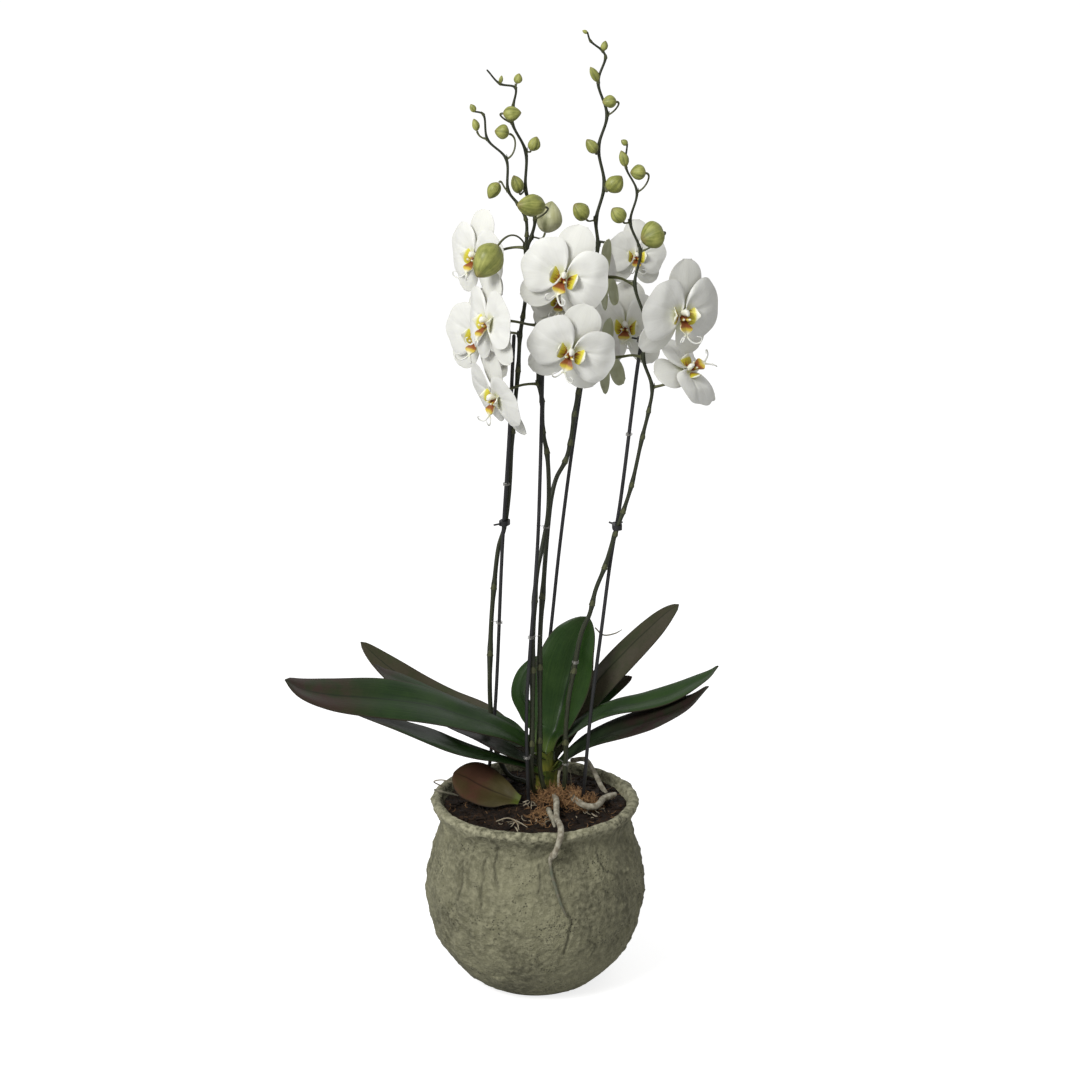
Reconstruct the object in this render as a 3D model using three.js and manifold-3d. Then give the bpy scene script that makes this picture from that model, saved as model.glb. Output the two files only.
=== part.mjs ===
// Potted moth orchid: four flower spikes on black stakes, two fans of strap leaves and loose
// aerial roots, in a round stoneware pot with a flared rim.
// Millimetres, +Z up. Origin: centre of the pot's flat foot. The front of the plant faces -Y.
import * as THREE from 'three';
import { mergeVertices } from 'three/addons/utils/BufferGeometryUtils.js';
import Module from 'manifold-3d';

const wasm = await Module();
wasm.setup();

// ---------------------------------------------------------------- driving dimensions
const GAP = 0.35; // clearance between pieces that touch

const POT = {
  height: 203,
  footRadius: 59,
  footLean: 0.53, // angle of the wall above the floor where it leaves the foot, radians
  bellyRadius: 116,
  bellyHeight: 100,
  neckRadius: 101,
  neckHeight: 179,
  rimRadius: 109,
  rimDrop: 5, // how far below the top the rim is widest
  wall: 11,
  floor: 14,
  sides: 32,
};

const MIX = { belowRim: 9, dome: 5, stakeDepth: 100 };
const CROWN = { x: 12, y: 27, radius: 11, height: 52, depth: 10, sides: 12 };
const MOSS = { x: 30, y: -6, length: 58, width: 34, height: 16 };

const STAKE = { radius: 1.9, sides: 8 };
const SPIKE = { footRadius: 2.6, tipRadius: 0.9, sides: 6, stepsPerPoint: 1 };
const PEDICEL = { radius: 1.35, budRadius: 0.9, sides: 4, steps: 4 };
const CLIP = { height: 5, rim: 1.6, prong: 8, hold: 0.7 };
const ROOT = { sides: 8, stepsPerPoint: 2 };

const LEAF = { thickness: 2.4, edge: 1.1, steps: 9, baseWidth: 15 };
const FLOWER = {
  sepalLength: 50, sepalWidth: 32, petalLength: 47, petalWidth: 62, thickness: 1.3,
  lipLength: 20, columnLength: 9, columnRadius: 3.2, neck: 4,
};

// ---------------------------------------------------------------- colours
const finish = (color, roughness) => new THREE.MeshStandardMaterial({ color, roughness, metalness: 0 });
const STONEWARE = finish(0x807c64, 0.9);
const POTTING_MIX = finish(0x1d150f, 0.95);
const MOSS_BROWN = finish(0x6b4327, 0.95);
const CROWN_GREEN = finish(0x6f7a2c, 0.6);
const LEAF_GREEN = finish(0x22391c, 0.45);
const LEAF_BRONZE = finish(0x4a3f30, 0.5);
const SPIKE_GREEN = finish(0x333a22, 0.5);
const STAKE_BLACK = finish(0x0b0c0c, 0.4);
const ROOT_SILVER = finish(0xa9a890, 0.75);
const PETAL_WHITE = finish(0xf0efe9, 0.6);
const BUD_GREEN = finish(0x8f9a45, 0.55);

// ---------------------------------------------------------------- helpers
const vec = (p) => new THREE.Vector3(p[0], p[1], p[2]);
const lerp = THREE.MathUtils.lerp;
const rad = THREE.MathUtils.degToRad;

function weld(geometry) {
  geometry.deleteAttribute('normal');
  geometry.deleteAttribute('uv');
  return mergeVertices(geometry, 1e-5);
}

function signedVolume(positions, index) {
  const a = new THREE.Vector3();
  const b = new THREE.Vector3();
  const c = new THREE.Vector3();
  let total = 0;
  for (let i = 0; i < index.length; i += 3) {
    a.fromArray(positions, index[i] * 3);
    b.fromArray(positions, index[i + 1] * 3);
    c.fromArray(positions, index[i + 2] * 3);
    total += a.dot(b.cross(c));
  }
  return total;
}

// Closed body through rings of points. Every ring has the same even number of points, and both
// ends are capped by strips across the ring.
function loft(rings) {
  const n = rings[0].length;
  const positions = rings.flat().flatMap((p) => [p.x, p.y, p.z]);
  const index = [];
  for (let r = 0; r + 1 < rings.length; r += 1) {
    for (let i = 0; i < n; i += 1) {
      const a = r * n + i;
      const b = r * n + ((i + 1) % n);
      index.push(a, b, b + n, a, b + n, a + n);
    }
  }
  const last = (rings.length - 1) * n;
  for (let i = 0; i + 2 <= n / 2; i += 1) {
    const near = [i, i + 1, n - 2 - i, n - 1 - i];
    const far = near.map((k) => k + last);
    index.push(near[0], near[2], near[1], near[0], near[3], near[2]);
    index.push(far[0], far[1], far[2], far[0], far[2], far[3]);
  }
  if (signedVolume(positions, index) < 0) {
    index.reverse();
  }
  const geometry = new THREE.BufferGeometry();
  geometry.setAttribute('position', new THREE.Float32BufferAttribute(positions, 3));
  geometry.setIndex(index);
  return geometry;
}

// Round bar along a curve, with a radius that may change from start (0) to end (1). Steps are
// even in the curve's own parameter, so a curve through points keeps those points as rings.
function bar(curve, radiusAt, sides, steps) {
  const first = curve.getTangent(0);
  const normal = new THREE.Vector3(0.3, 1, 0.2).cross(first).normalize();
  const rings = [];
  for (let s = 0; s <= steps; s += 1) {
    const t = s / steps;
    const centre = curve.getPoint(t);
    const along = curve.getTangent(t);
    normal.addScaledVector(along, -normal.dot(along)).normalize();
    const across = new THREE.Vector3().crossVectors(along, normal);
    const radius = radiusAt(t);
    rings.push(Array.from({ length: sides }, (_, i) => {
      const a = (i / sides) * 2 * Math.PI;
      return centre.clone()
        .addScaledVector(normal, radius * Math.cos(a))
        .addScaledVector(across, radius * Math.sin(a));
    }));
  }
  return loft(rings);
}

// Closed blade along a spine: a leaf, sepal or petal. outline(t) is the share of the full width,
// fold tips both halves up from the midrib, twist turns the blade about its spine on the way.
function blade({ spine, side, width, fold, twist, thickness, edge, steps, across, outline }) {
  const rings = [];
  for (let s = 0; s <= steps; s += 1) {
    const t = s / steps;
    const centre = spine.getPointAt(t);
    const along = spine.getTangentAt(t);
    const out = side.clone().addScaledVector(along, -side.dot(along)).normalize();
    out.applyAxisAngle(along, twist * t);
    const face = new THREE.Vector3().crossVectors(out, along).normalize();
    const half = 0.5 * width * outline(t);
    const top = [];
    const under = [];
    for (let k = 0; k <= across; k += 1) {
      const v = (2 * k) / across - 1;
      const middle = centre.clone()
        .addScaledVector(out, half * v * Math.cos(fold))
        .addScaledVector(face, half * Math.abs(v) * Math.sin(fold));
      const depth = 0.5 * lerp(thickness, edge, Math.abs(v));
      top.push(middle.clone().addScaledVector(face, depth));
      under.push(middle.clone().addScaledVector(face, -depth));
    }
    rings.push([...top, ...under.reverse()]);
  }
  return loft(rings);
}

function toSolid(geometry) {
  const welded = weld(geometry);
  return new wasm.Manifold(new wasm.Mesh({
    numProp: 3,
    vertProperties: new Float32Array(welded.attributes.position.array),
    triVerts: new Uint32Array(welded.index.array),
  }));
}

function toGeometry(solid) {
  const mesh = solid.getMesh();
  const geometry = new THREE.BufferGeometry();
  geometry.setAttribute('position', new THREE.Float32BufferAttribute(Array.from(mesh.vertProperties), 3));
  geometry.setIndex(Array.from(mesh.triVerts));
  return geometry;
}

const joined = (geometries) => toGeometry(geometries.map(toSolid).reduce((all, one) => all.add(one)));
const cut = (body, tools) => toGeometry(tools.map(toSolid).reduce((left, tool) => left.subtract(tool), toSolid(body)));

const smooth = (points) => new THREE.CatmullRomCurve3(points.map(vec), false, 'centripetal');

// Point where a rising curve passes a height.
function atHeight(curve, z) {
  let low = 0;
  let high = 1;
  for (let i = 0; i < 30; i += 1) {
    const middle = (low + high) / 2;
    if (curve.getPoint(middle).z < z) {
      low = middle;
    } else {
      high = middle;
    }
  }
  return curve.getPoint(low);
}

// ---------------------------------------------------------------- pot and potting mix
// Wall profile from foot to rim, moved inwards by inset. Points are (radius, height).
function wallProfile(inset, [low, high, top]) {
  const bottom = inset === 0 ? 0 : POT.floor + inset - POT.wall;
  const foot = new THREE.Vector2(POT.footRadius - inset / 2, bottom);
  const belly = new THREE.Vector2(POT.bellyRadius - inset, POT.bellyHeight);
  const neck = new THREE.Vector2(POT.neckRadius - inset, POT.neckHeight);
  const rim = new THREE.Vector2(POT.rimRadius - inset, POT.height - POT.rimDrop);
  const swell = 0.41 * (belly.y - foot.y);
  const rise = 0.46 * (neck.y - belly.y);
  const flare = 0.45 * (rim.y - neck.y);
  const leave = new THREE.Vector2(Math.cos(POT.footLean), Math.sin(POT.footLean)).multiplyScalar(swell);
  const curves = [
    [new THREE.CubicBezierCurve(
      foot, foot.clone().add(leave), belly.clone().setY(belly.y - swell), belly), low],
    [new THREE.CubicBezierCurve(
      belly, belly.clone().setY(belly.y + rise), neck.clone().setY(neck.y - rise / 2), neck), high],
    [new THREE.CubicBezierCurve(
      neck, neck.clone().setY(neck.y + flare), rim.clone().setY(rim.y - flare / 2), rim), top],
  ];
  return curves.flatMap(([curve, steps], i) => curve.getPoints(steps).slice(i === 0 ? 0 : 1));
}

function radiusAtHeight(profile, z) {
  const upper = profile.findIndex((p) => p.y >= z);
  if (upper <= 0) {
    return profile[Math.max(upper, 0)].x;
  }
  const a = profile[upper - 1];
  const b = profile[upper];
  return lerp(a.x, b.x, (z - a.y) / (b.y - a.y));
}

function turned(profile) {
  const geometry = new THREE.LatheGeometry(profile, POT.sides);
  geometry.rotateX(Math.PI / 2);
  const welded = weld(geometry);
  if (signedVolume(welded.attributes.position.array, welded.index.array) < 0) {
    welded.setIndex(Array.from(welded.index.array).reverse());
  }
  return welded;
}

const outerWall = wallProfile(0, [6, 4, 2]);
const innerWall = wallProfile(POT.wall, [4, 3, 2]);
const rimOut = outerWall.at(-1);
const rimIn = innerWall.at(-1);
const lip = new THREE.EllipseCurve(
  (rimOut.x + rimIn.x) / 2, rimOut.y, (rimOut.x - rimIn.x) / 2, POT.rimDrop, 0, Math.PI);
const potProfile = [
  new THREE.Vector2(0, 0),
  ...outerWall,
  ...lip.getPoints(4).slice(1, -1),
  ...innerWall.slice().reverse(),
  new THREE.Vector2(0, POT.floor),
];

const soil = POT.height - MIX.belowRim;
const mixWall = wallProfile(POT.wall + GAP, [4, 3, 2]);
const mixEdge = new THREE.Vector2(radiusAtHeight(mixWall, soil), soil);
const domeSteps = 4;
const domeHeight = (r) => MIX.dome * Math.cos((0.5 * Math.PI * r) / mixEdge.x);
const dome = (lift) => Array.from({ length: domeSteps }, (_, i) => {
  const r = mixEdge.x * (1 - (i + 1) / domeSteps);
  return new THREE.Vector2(r, soil + lift + domeHeight(r));
});
const mixProfile = [
  new THREE.Vector2(0, mixWall[0].y),
  ...mixWall.filter((p) => p.y < soil - 1),
  mixEdge,
  ...dome(0),
];

// The plant is laid out from the level of the mix at the wall, so it rises with the pot.
const raised = (points) => points.map((p) => [p[0], p[1], p[2] + soil]);

// ---------------------------------------------------------------- crown
function crownBody(grow) {
  const shape = new THREE.CatmullRomCurve3([
    new THREE.Vector3(0.55, 0, -CROWN.depth - grow),
    new THREE.Vector3(0.95, 0, 4),
    new THREE.Vector3(1, 0, 0.35 * CROWN.height),
    new THREE.Vector3(0.8, 0, 0.75 * CROWN.height),
    new THREE.Vector3(0.3, 0, CROWN.height),
  ]);
  const rings = shape.getPoints(8).map((p) => Array.from({ length: CROWN.sides }, (_, i) => {
    const a = (i / CROWN.sides) * 2 * Math.PI;
    const r = CROWN.radius * p.x + grow;
    return new THREE.Vector3(CROWN.x + r * Math.cos(a), CROWN.y + r * Math.sin(a), soil + p.z);
  }));
  return loft(rings);
}

// ---------------------------------------------------------------- stakes, spikes and clips
// Straight run into the mix below the first point of a route.
function rooted(route, depth) {
  const [a, b] = [vec(route[0]), vec(route[1])];
  const down = a.clone().sub(b).normalize();
  const foot = a.clone().addScaledVector(down, (a.z - soil + depth) / -down.z);
  return [foot.toArray(), ...route];
}

function stakeBody(route, grow) {
  const section = new THREE.Shape();
  section.absarc(0, 0, STAKE.radius + grow, 0, 2 * Math.PI, false);
  const path = smooth(rooted(raised(route), MIX.stakeDepth + grow));
  const geometry = new THREE.ExtrudeGeometry(section, {
    steps: 2 * route.length,
    curveSegments: STAKE.sides / 2,
    bevelEnabled: false,
    extrudePath: path,
  });
  return weld(geometry);
}

const STAKE_ROUTES = {
  stake_1: [[-51, 42, 10], [-43, 41, 89], [-34, 27, 274], [-26, 8, 400], [-21, -4, 500]],
  stake_2: [[-7, -14, 9], [-9, -15, 104], [0, -11, 245], [3, -8, 295], [5, -5, 355], [7, 6, 434], [9, 12, 530]],
  stake_3: [[0, 86, 16], [17, 77, 172], [25, 64, 257], [35, 48, 347], [47, 44, 437], [56, 43, 498]],
  stake_4: [[50, -12, 8], [58, -14, 108], [69, -14, 203], [77, -13, 270], [86, -15, 330], [97, -13, 425], [102, -15, 470], [107, -24, 508]],
};

// Spike routes climb by the joints of the stalk: the upper points are the joints that bear
// flowers and buds. A bloom gives its joint, its place, and which way it looks.
const SPIKE_ROUTES = {
  spike_1: [[-8, 44, 6], [-28, 49, 12], [-42, 50, 40], [-48, 50, 90], [-47, 48, 175], [-43, 44, 229],
    [-38, 38, 271], [-32, 30, 293], [-27, 24, 330], [-23, 14, 399], [-17, 6, 464], [-15, 4, 499],
    [-12, 2, 519], [-9, 0, 543], [-9, -4, 588], [-8, -5, 601], [-9, -6, 617], [-17, -8, 632],
    [-26, -10, 645], [-28, -12, 676], [-46, -14, 695], [-50, -16, 719], [-59, -18, 722]],
  spike_2: [[3, 8, 5], [-2, -4, 18], [-4, -9, 41], [-3, -9, 102], [-2, -6, 194], [2, -2, 254], [8, 4, 283],
    [13, 8, 312], [14, 10, 344], [12, 12, 378], [8, 13, 399], [7, 14, 431], [4, 14, 448], [3, 14, 508],
    [2, 13, 532], [-6, 12, 543], [-8, 12, 584], [-4, 11, 596], [0, 10, 615], [-9, 10, 643],
    [-9, 8, 681], [-22, 6, 709], [-21, 4, 726], [-19, 2, 743], [-34, 0, 747], [-46, -4, 760]],
  spike_3: [[14, 8, 6], [9, 0, 18], [5, -1, 39], [5, 0, 100], [5, 3, 181], [9, 10, 244], [13, 16, 296],
    [17, 21, 329], [22, 25, 348], [31, 27, 365], [36, 29, 383], [40, 30, 413], [44, 31, 436], [52, 32, 479],
    [56, 32, 510], [57, 32, 545], [63, 32, 586], [61, 32, 611], [69, 31, 646], [63, 29, 683],
    [71, 27, 715], [62, 25, 747], [69, 23, 771], [66, 21, 777], [54, 16, 787], [51, 14, 795]],
  spike_4: [[25, 8, 5], [30, -2, 16], [32, -5, 50], [32, -6, 84], [35, -8, 120], [41, -9, 156], [48, -11, 193],
    [56, -13, 213], [62, -16, 240], [71, -19, 265], [81, -23, 301], [89, -25, 325], [97, -28, 353],
    [107, -31, 403], [113, -32, 430], [116, -33, 454], [107, -32, 483], [110, -31, 515], [98, -28, 555],
    [103, -27, 588], [93, -26, 616], [99, -28, 646], [88, -30, 670], [89, -32, 692]],
};

// joint: route point that bears it; at: throat of the flower; yaw, pitch, roll in degrees, where
// yaw 0 looks to the front, pitch lifts the face and roll turns it clockwise as seen from its front.
const FLOWERS = {
  flower_1_1: {
    spike: 'spike_1', joint: 11, at: [-57, 38, 492], yaw: -38, pitch: -5, roll: 8, size: 0.96, lead: [2, 24, 0],
  },
  flower_1_2: { spike: 'spike_1', joint: 14, at: [-57, 8, 578], yaw: -48, pitch: 0, roll: 5, size: 0.92 },
  flower_2_1: { spike: 'spike_2', joint: 12, at: [-38, -13, 441], yaw: -60, pitch: -22, roll: 10, size: 0.95 },
  flower_2_2: { spike: 'spike_2', joint: 13, at: [-44, -42, 521], yaw: -58, pitch: 0, roll: 0, size: 0.95 },
  flower_2_3: { spike: 'spike_2', joint: 14, at: [25, -2, 536], yaw: -8, pitch: 0, roll: 6, size: 0.7 },
  flower_3_1: { spike: 'spike_3', joint: 13, at: [36, -48, 494], yaw: -8, pitch: -22, roll: 22, size: 1 },
  flower_3_2: {
    spike: 'spike_3', joint: 14, at: [94, 62, 499], yaw: -15, pitch: 4, roll: 0, size: 0.92, lead: [-2, 66, 50],
  },
  flower_3_3: { spike: 'spike_3', joint: 15, at: [29, -42, 566], yaw: -10, pitch: -6, roll: 20, size: 1 },
  flower_3_4: {
    spike: 'spike_3', joint: 16, at: [102, 52, 573], yaw: 8, pitch: -4, roll: 4, size: 0.7, lead: [-6, 34, 6],
  },
  flower_4_1: { spike: 'spike_4', joint: 15, at: [150, -36, 471], yaw: 62, pitch: 41, roll: -79, size: 0.92 },
  flower_4_2: { spike: 'spike_4', joint: 16, at: [72, 10, 476], yaw: -116, pitch: -4, roll: 4, size: 0.78 },
  flower_4_3: { spike: 'spike_4', joint: 17, at: [142, -52, 531], yaw: 32, pitch: -10, roll: 6, size: 1.04 },
  flower_4_4: { spike: 'spike_4', joint: 18, at: [70, 4, 558], yaw: -112, pitch: -4, roll: 0, size: 0.74 },
};

// base and tip give the long axis of a bud; the smallest ones grow in one piece with the spike.
const BUDS = {
  bud_1_1: { spike: 'spike_1', joint: 18, base: [-35, -13, 653], tip: [-45, -17, 638], width: 13 },
  bud_1_2: { spike: 'spike_1', joint: 19, base: [-25, -12, 700], tip: [-39, -15, 703], width: 15 },
  bud_1_3: { spike: 'spike_1', joint: 20, base: [-56, -16, 703], tip: [-59, -19, 715], width: 8 },
  bud_2_1: {
    spike: 'spike_2', joint: 16, base: [-36, -40, 595], tip: [-56, -62, 568], width: 30, lead: [-4, -16, 16],
  },
  bud_2_2: { spike: 'spike_2', joint: 18, base: [9, -18, 630], tip: [-17, -38, 634], width: 22 },
  bud_2_3: { spike: 'spike_2', joint: 17, base: [10, 36, 598], tip: [17, 32, 630], width: 27 },
  bud_2_4: { spike: 'spike_2', joint: 19, base: [-15, 4, 641], tip: [-21, -2, 659], width: 13 },
  bud_2_5: { spike: 'spike_2', joint: 20, base: [-4, 7, 682], tip: [2, 4, 696], width: 12 },
  bud_2_6: { spike: 'spike_2', joint: 21, base: [-31, -6, 719], tip: [-13, -10, 720], width: 14 },
  bud_2_7: { spike: 'spike_2', joint: 23, base: [-18, 0, 747], tip: [-15, -2, 757], width: 9 },
  bud_3_1: { spike: 'spike_3', joint: 17, base: [51, 24, 613], tip: [39, 16, 629], width: 17 },
  bud_3_2: { spike: 'spike_3', joint: 18, base: [72, 25, 641], tip: [86, 20, 656], width: 17 },
  bud_3_3: { spike: 'spike_3', joint: 19, base: [60, 24, 678], tip: [51, 20, 692], width: 12 },
  bud_3_4: { spike: 'spike_3', joint: 20, base: [80, 23, 728], tip: [66, 18, 728], width: 13 },
  bud_4_1: { spike: 'spike_4', joint: 19, base: [124, -34, 607], tip: [103, -48, 602], width: 26 },
  bud_4_2: { spike: 'spike_4', joint: 20, base: [86, -30, 617], tip: [75, -36, 631], width: 15 },
  bud_4_3: { spike: 'spike_4', joint: 21, base: [107, -30, 664], tip: [92, -35, 665], width: 16 },
};

const TIP_BUDS = [
  { spike: 'spike_1', base: [-58, -18, 721], tip: [-62, -19, 729], width: 6 },
  { spike: 'spike_2', base: [-34, 0, 747], tip: [-32, 0, 755], width: 4 },
  { spike: 'spike_3', base: [62, 25, 747], tip: [54, 20, 762], width: 8 },
  { spike: 'spike_3', base: [66, 21, 777], tip: [69, 19, 787], width: 7 },
  { spike: 'spike_3', base: [51, 14, 794], tip: [46, 13, 797], width: 4 },
  { spike: 'spike_4', base: [88, -30, 670], tip: [83, -32, 686], width: 9 },
  { spike: 'spike_4', base: [89, -32, 691], tip: [83, -34, 696], width: 6 },
];

const CLIPS = {
  clip_low_left: { stake: 'stake_1', spike: 'spike_1', height: 300, prongs: 1 },
  clip_low_right: { stake: 'stake_4', spike: 'spike_4', height: 308, prongs: 2 },
  clip_high_right: { stake: 'stake_4', spike: 'spike_4', height: 500, prongs: 2 },
};

// ---------------------------------------------------------------- leaves
const LEAVES = {
  leaf_left_long: {
    spine: [[-3, 17, 52], [-10, 14, 60], [-37, 8, 79], [-68, 2, 93], [-110, -6, 109], [-156, -14, 120],
      [-212, -26, 129], [-241, -34, 139], [-256, -40, 151]],
    side: [0, 1, 0.3], width: 60, fold: 4, twist: -8,
  },
  leaf_left_low: {
    spine: [[-4, 14, 30], [-12, 10, 36], [-37, 4, 47], [-68, -7, 60], [-109, -19, 79], [-150, -28, 98],
      [-184, -36, 112]],
    side: [0, 1, -0.1], width: 46, fold: 4, twist: 0,
  },
  leaf_left_inner: {
    spine: [[-4, 29, 34], [-12, 26, 40], [-38, 21, 55], [-62, 22, 67], [-84, 25, 74], [-100, 28, 80]],
    side: [0, 1, -0.05], width: 36, fold: 5, twist: 0,
  },
  leaf_back_left: {
    spine: [[2, 44, 36], [-12, 66, 42], [-38, 94, 49], [-60, 108, 58], [-94, 118, 68], [-121, 123, 81],
      [-149, 125, 100], [-171, 128, 117], [-192, 130, 137]],
    side: [0, -0.45, -1], width: 35, fold: 10, twist: -8,
  },
  leaf_left_cupped: {
    spine: [[-5, 37, 50], [-17, 50, 51], [-38, 74, 58], [-71, 82, 68], [-114, 87, 86], [-146, 90, 103],
      [-164, 90, 113], [-175, 91, 124]],
    side: [0, 0.9, 0.35], width: 40, fold: 10, twist: 10,
  },
  leaf_upright: {
    spine: [[16, 36, 58], [22, 42, 66], [27, 48, 84], [35, 56, 113], [44, 62, 150], [52, 64, 172],
      [57, 65, 186]],
    side: [0.87, -0.5, 0], width: 82, fold: 28, twist: 0, base: 34,
  },
  leaf_back: {
    spine: [[12, 46, 52], [6, 62, 64], [-7, 82, 76], [-15, 94, 90], [-12, 101, 106], [-4, 105, 118],
      [5, 107, 128]],
    side: [0.6, -0.8, 0], width: 30, fold: 18, twist: 0,
  },
  leaf_right_high: {
    spine: [[22, 40, 50], [35, 45, 71], [56, 56, 101], [73, 62, 121], [96, 68, 145], [121, 70, 170],
      [141, 71, 189], [153, 71, 198]],
    side: [-0.45, 0.8, 0.39], width: 40, fold: 12, twist: 0,
  },
  leaf_right_small: {
    spine: [[17, 48, 36], [30, 58, 52], [48, 68, 76], [70, 78, 92], [87, 84, 102], [105, 88, 111]],
    side: [0.3, -0.6, -0.75], width: 26, fold: 14, twist: 0,
  },
  leaf_right_green: {
    spine: [[27, 28, 56], [38, 28, 67], [58, 28, 84], [84, 27, 95], [116, 24, 103], [147, 18, 115],
      [172, 12, 131], [185, 10, 141], [191, 8, 150]],
    side: [0, -1, -0.2], width: 42, fold: 8, twist: -6,
  },
  leaf_right_low: {
    spine: [[28, 22, 34], [36, 20, 44], [53, 18, 59], [73, 14, 70], [107, 6, 84], [133, -1, 97],
      [162, -8, 114], [180, -11, 134]],
    side: [0, -1, -0.28], width: 46, fold: 10, twist: -8,
  },
  leaf_old: {
    spine: [[-17, -8, 13], [-32, -6, 18], [-53, -3, 25], [-72, 2, 30], [-86, 5, 34]],
    side: [-0.2, -0.85, -0.5], width: 46, fold: 6, twist: 0,
  },
};

// Strap shape: a folded stalk at the base, widest past the middle, then a rounded point.
function strapOutline(t, stalk) {
  const widest = 0.58;
  if (t < widest) {
    return lerp(stalk, 1, Math.sin((0.5 * Math.PI * t) / widest) ** 1.4);
  }
  const u = (t - widest) / (1 - widest);
  return Math.max(0.05, Math.sqrt(1 - u ** 2.4));
}

function leafBody({ spine, side, width, fold, twist, base = LEAF.baseWidth }) {
  return blade({
    spine: smooth(raised(spine)),
    side: vec(side).normalize(),
    width,
    fold: rad(fold),
    twist: rad(twist),
    thickness: LEAF.thickness,
    edge: LEAF.edge,
    steps: LEAF.steps,
    across: 4,
    outline: (t) => strapOutline(t, base / width),
  });
}

// ---------------------------------------------------------------- flower
// Built looking along +Z with the top sepal along +Y; the throat is at the origin.
function tepal(length, width, angle, start, rise, back, full) {
  const turn = rad(angle);
  const dir = new THREE.Vector3(Math.cos(turn), Math.sin(turn), 0);
  const point = (r, z) => dir.clone().multiplyScalar(r).setZ(z);
  const spine = new THREE.QuadraticBezierCurve3(point(2, start), point(0.55 * length, start + rise), point(length, start - back));
  return blade({
    spine,
    side: new THREE.Vector3(-dir.y, dir.x, 0),
    width,
    fold: 0,
    twist: 0,
    thickness: FLOWER.thickness,
    edge: FLOWER.thickness,
    steps: 4,
    across: 1,
    outline: (t) => Math.max(0.1, Math.sin(Math.PI * (0.02 + 0.93 * t ** full)) ** 0.7),
  });
}

function flowerBody() {
  const f = FLOWER;
  const along = (a, b) => new THREE.LineCurve3(vec(a), vec(b));
  const lobe = (side) => blade({
    spine: along([side * 3, -3, 1], [side * 9, 1, 8]),
    side: new THREE.Vector3(0, 1, 0.2),
    width: 11, fold: 0, twist: 0, thickness: 1.3, edge: 1.3, steps: 1, across: 1,
    outline: (t) => 0.5 + 0.5 * Math.sin(Math.PI * t),
  });
  const parts = [
    tepal(f.sepalLength, f.sepalWidth, 90, -1.5, -0.5, 5, 0.95),
    tepal(f.sepalLength, f.sepalWidth, 231, -1.5, -0.5, 4, 0.95),
    tepal(f.sepalLength, f.sepalWidth, 309, -1.5, -0.5, 4, 0.95),
    tepal(f.petalLength, f.petalWidth, 172, 0.6, 2.5, 1, 0.85),
    tepal(f.petalLength, f.petalWidth, 8, 0.6, 2.5, 1, 0.85),
    bar(along([0, 0, -f.neck], [0, 1, f.columnLength]), (t) => lerp(1.8, f.columnRadius, Math.min(1, 2 * t)), 6, 2),
    blade({
      spine: along([0, -1.5, 1], [0, -12, f.lipLength - 4]),
      side: new THREE.Vector3(1, 0, 0),
      width: 12, fold: 0, twist: 0, thickness: 2, edge: 2, steps: 1, across: 1,
      outline: (t) => lerp(1, 0.35, t),
    }),
    lobe(-1),
    lobe(1),
  ];
  return joined(parts);
}

// Turns the flower's own axes to the plant's: yaw about the upright, then pitch, then roll.
function facing({ yaw, pitch, roll }) {
  const axis = (x, y, z, degrees) => new THREE.Quaternion().setFromAxisAngle(new THREE.Vector3(x, y, z), rad(degrees));
  return axis(0, 0, 1, yaw).multiply(axis(1, 0, 0, 90 - pitch)).multiply(axis(0, 0, 1, -roll));
}

// ---------------------------------------------------------------- bud
function budBody(base, tip, width) {
  const length = base.distanceTo(tip);
  const profile = [new THREE.Vector2(0, 0)];
  const rings = 5;
  for (let i = 1; i < rings; i += 1) {
    const t = i / rings;
    profile.push(new THREE.Vector2(0.5 * width * Math.sin(Math.PI * t ** 0.85) ** 0.8, length * t));
  }
  profile.push(new THREE.Vector2(0, length));
  const geometry = new THREE.LatheGeometry(profile, 8);
  const turn = new THREE.Quaternion().setFromUnitVectors(
    new THREE.Vector3(0, 1, 0), tip.clone().sub(base).normalize());
  geometry.applyQuaternion(turn);
  geometry.translate(base.x, base.y, base.z);
  const welded = weld(geometry);
  if (signedVolume(welded.attributes.position.array, welded.index.array) < 0) {
    welded.setIndex(Array.from(welded.index.array).reverse());
  }
  return welded;
}

// Short stalk from a joint of the spike to the back of a bloom, meeting it along its own axis.
// lead is the way it sets off from the joint, where it doesn't simply point at the bloom.
function pedicel(joint, end, axis, radius, lead) {
  const reach = 0.4 * joint.distanceTo(end);
  const straight = end.clone().sub(joint).setZ(0).setLength(reach).setZ(0.15 * reach);
  const start = joint.clone().add(lead ? vec(lead) : straight);
  const curve = new THREE.CubicBezierCurve3(joint, start, end.clone().addScaledVector(axis, -reach), end);
  return bar(curve, (t) => radius * lerp(1.25, 1, t), PEDICEL.sides, PEDICEL.steps);
}

function stemBody(name, grow) {
  const route = raised(SPIKE_ROUTES[name]);
  return bar(
    smooth(route), (t) => grow + lerp(SPIKE.footRadius, SPIKE.tipRadius, t ** 1.6),
    SPIKE.sides, SPIKE.stepsPerPoint * (route.length - 1));
}

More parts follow.
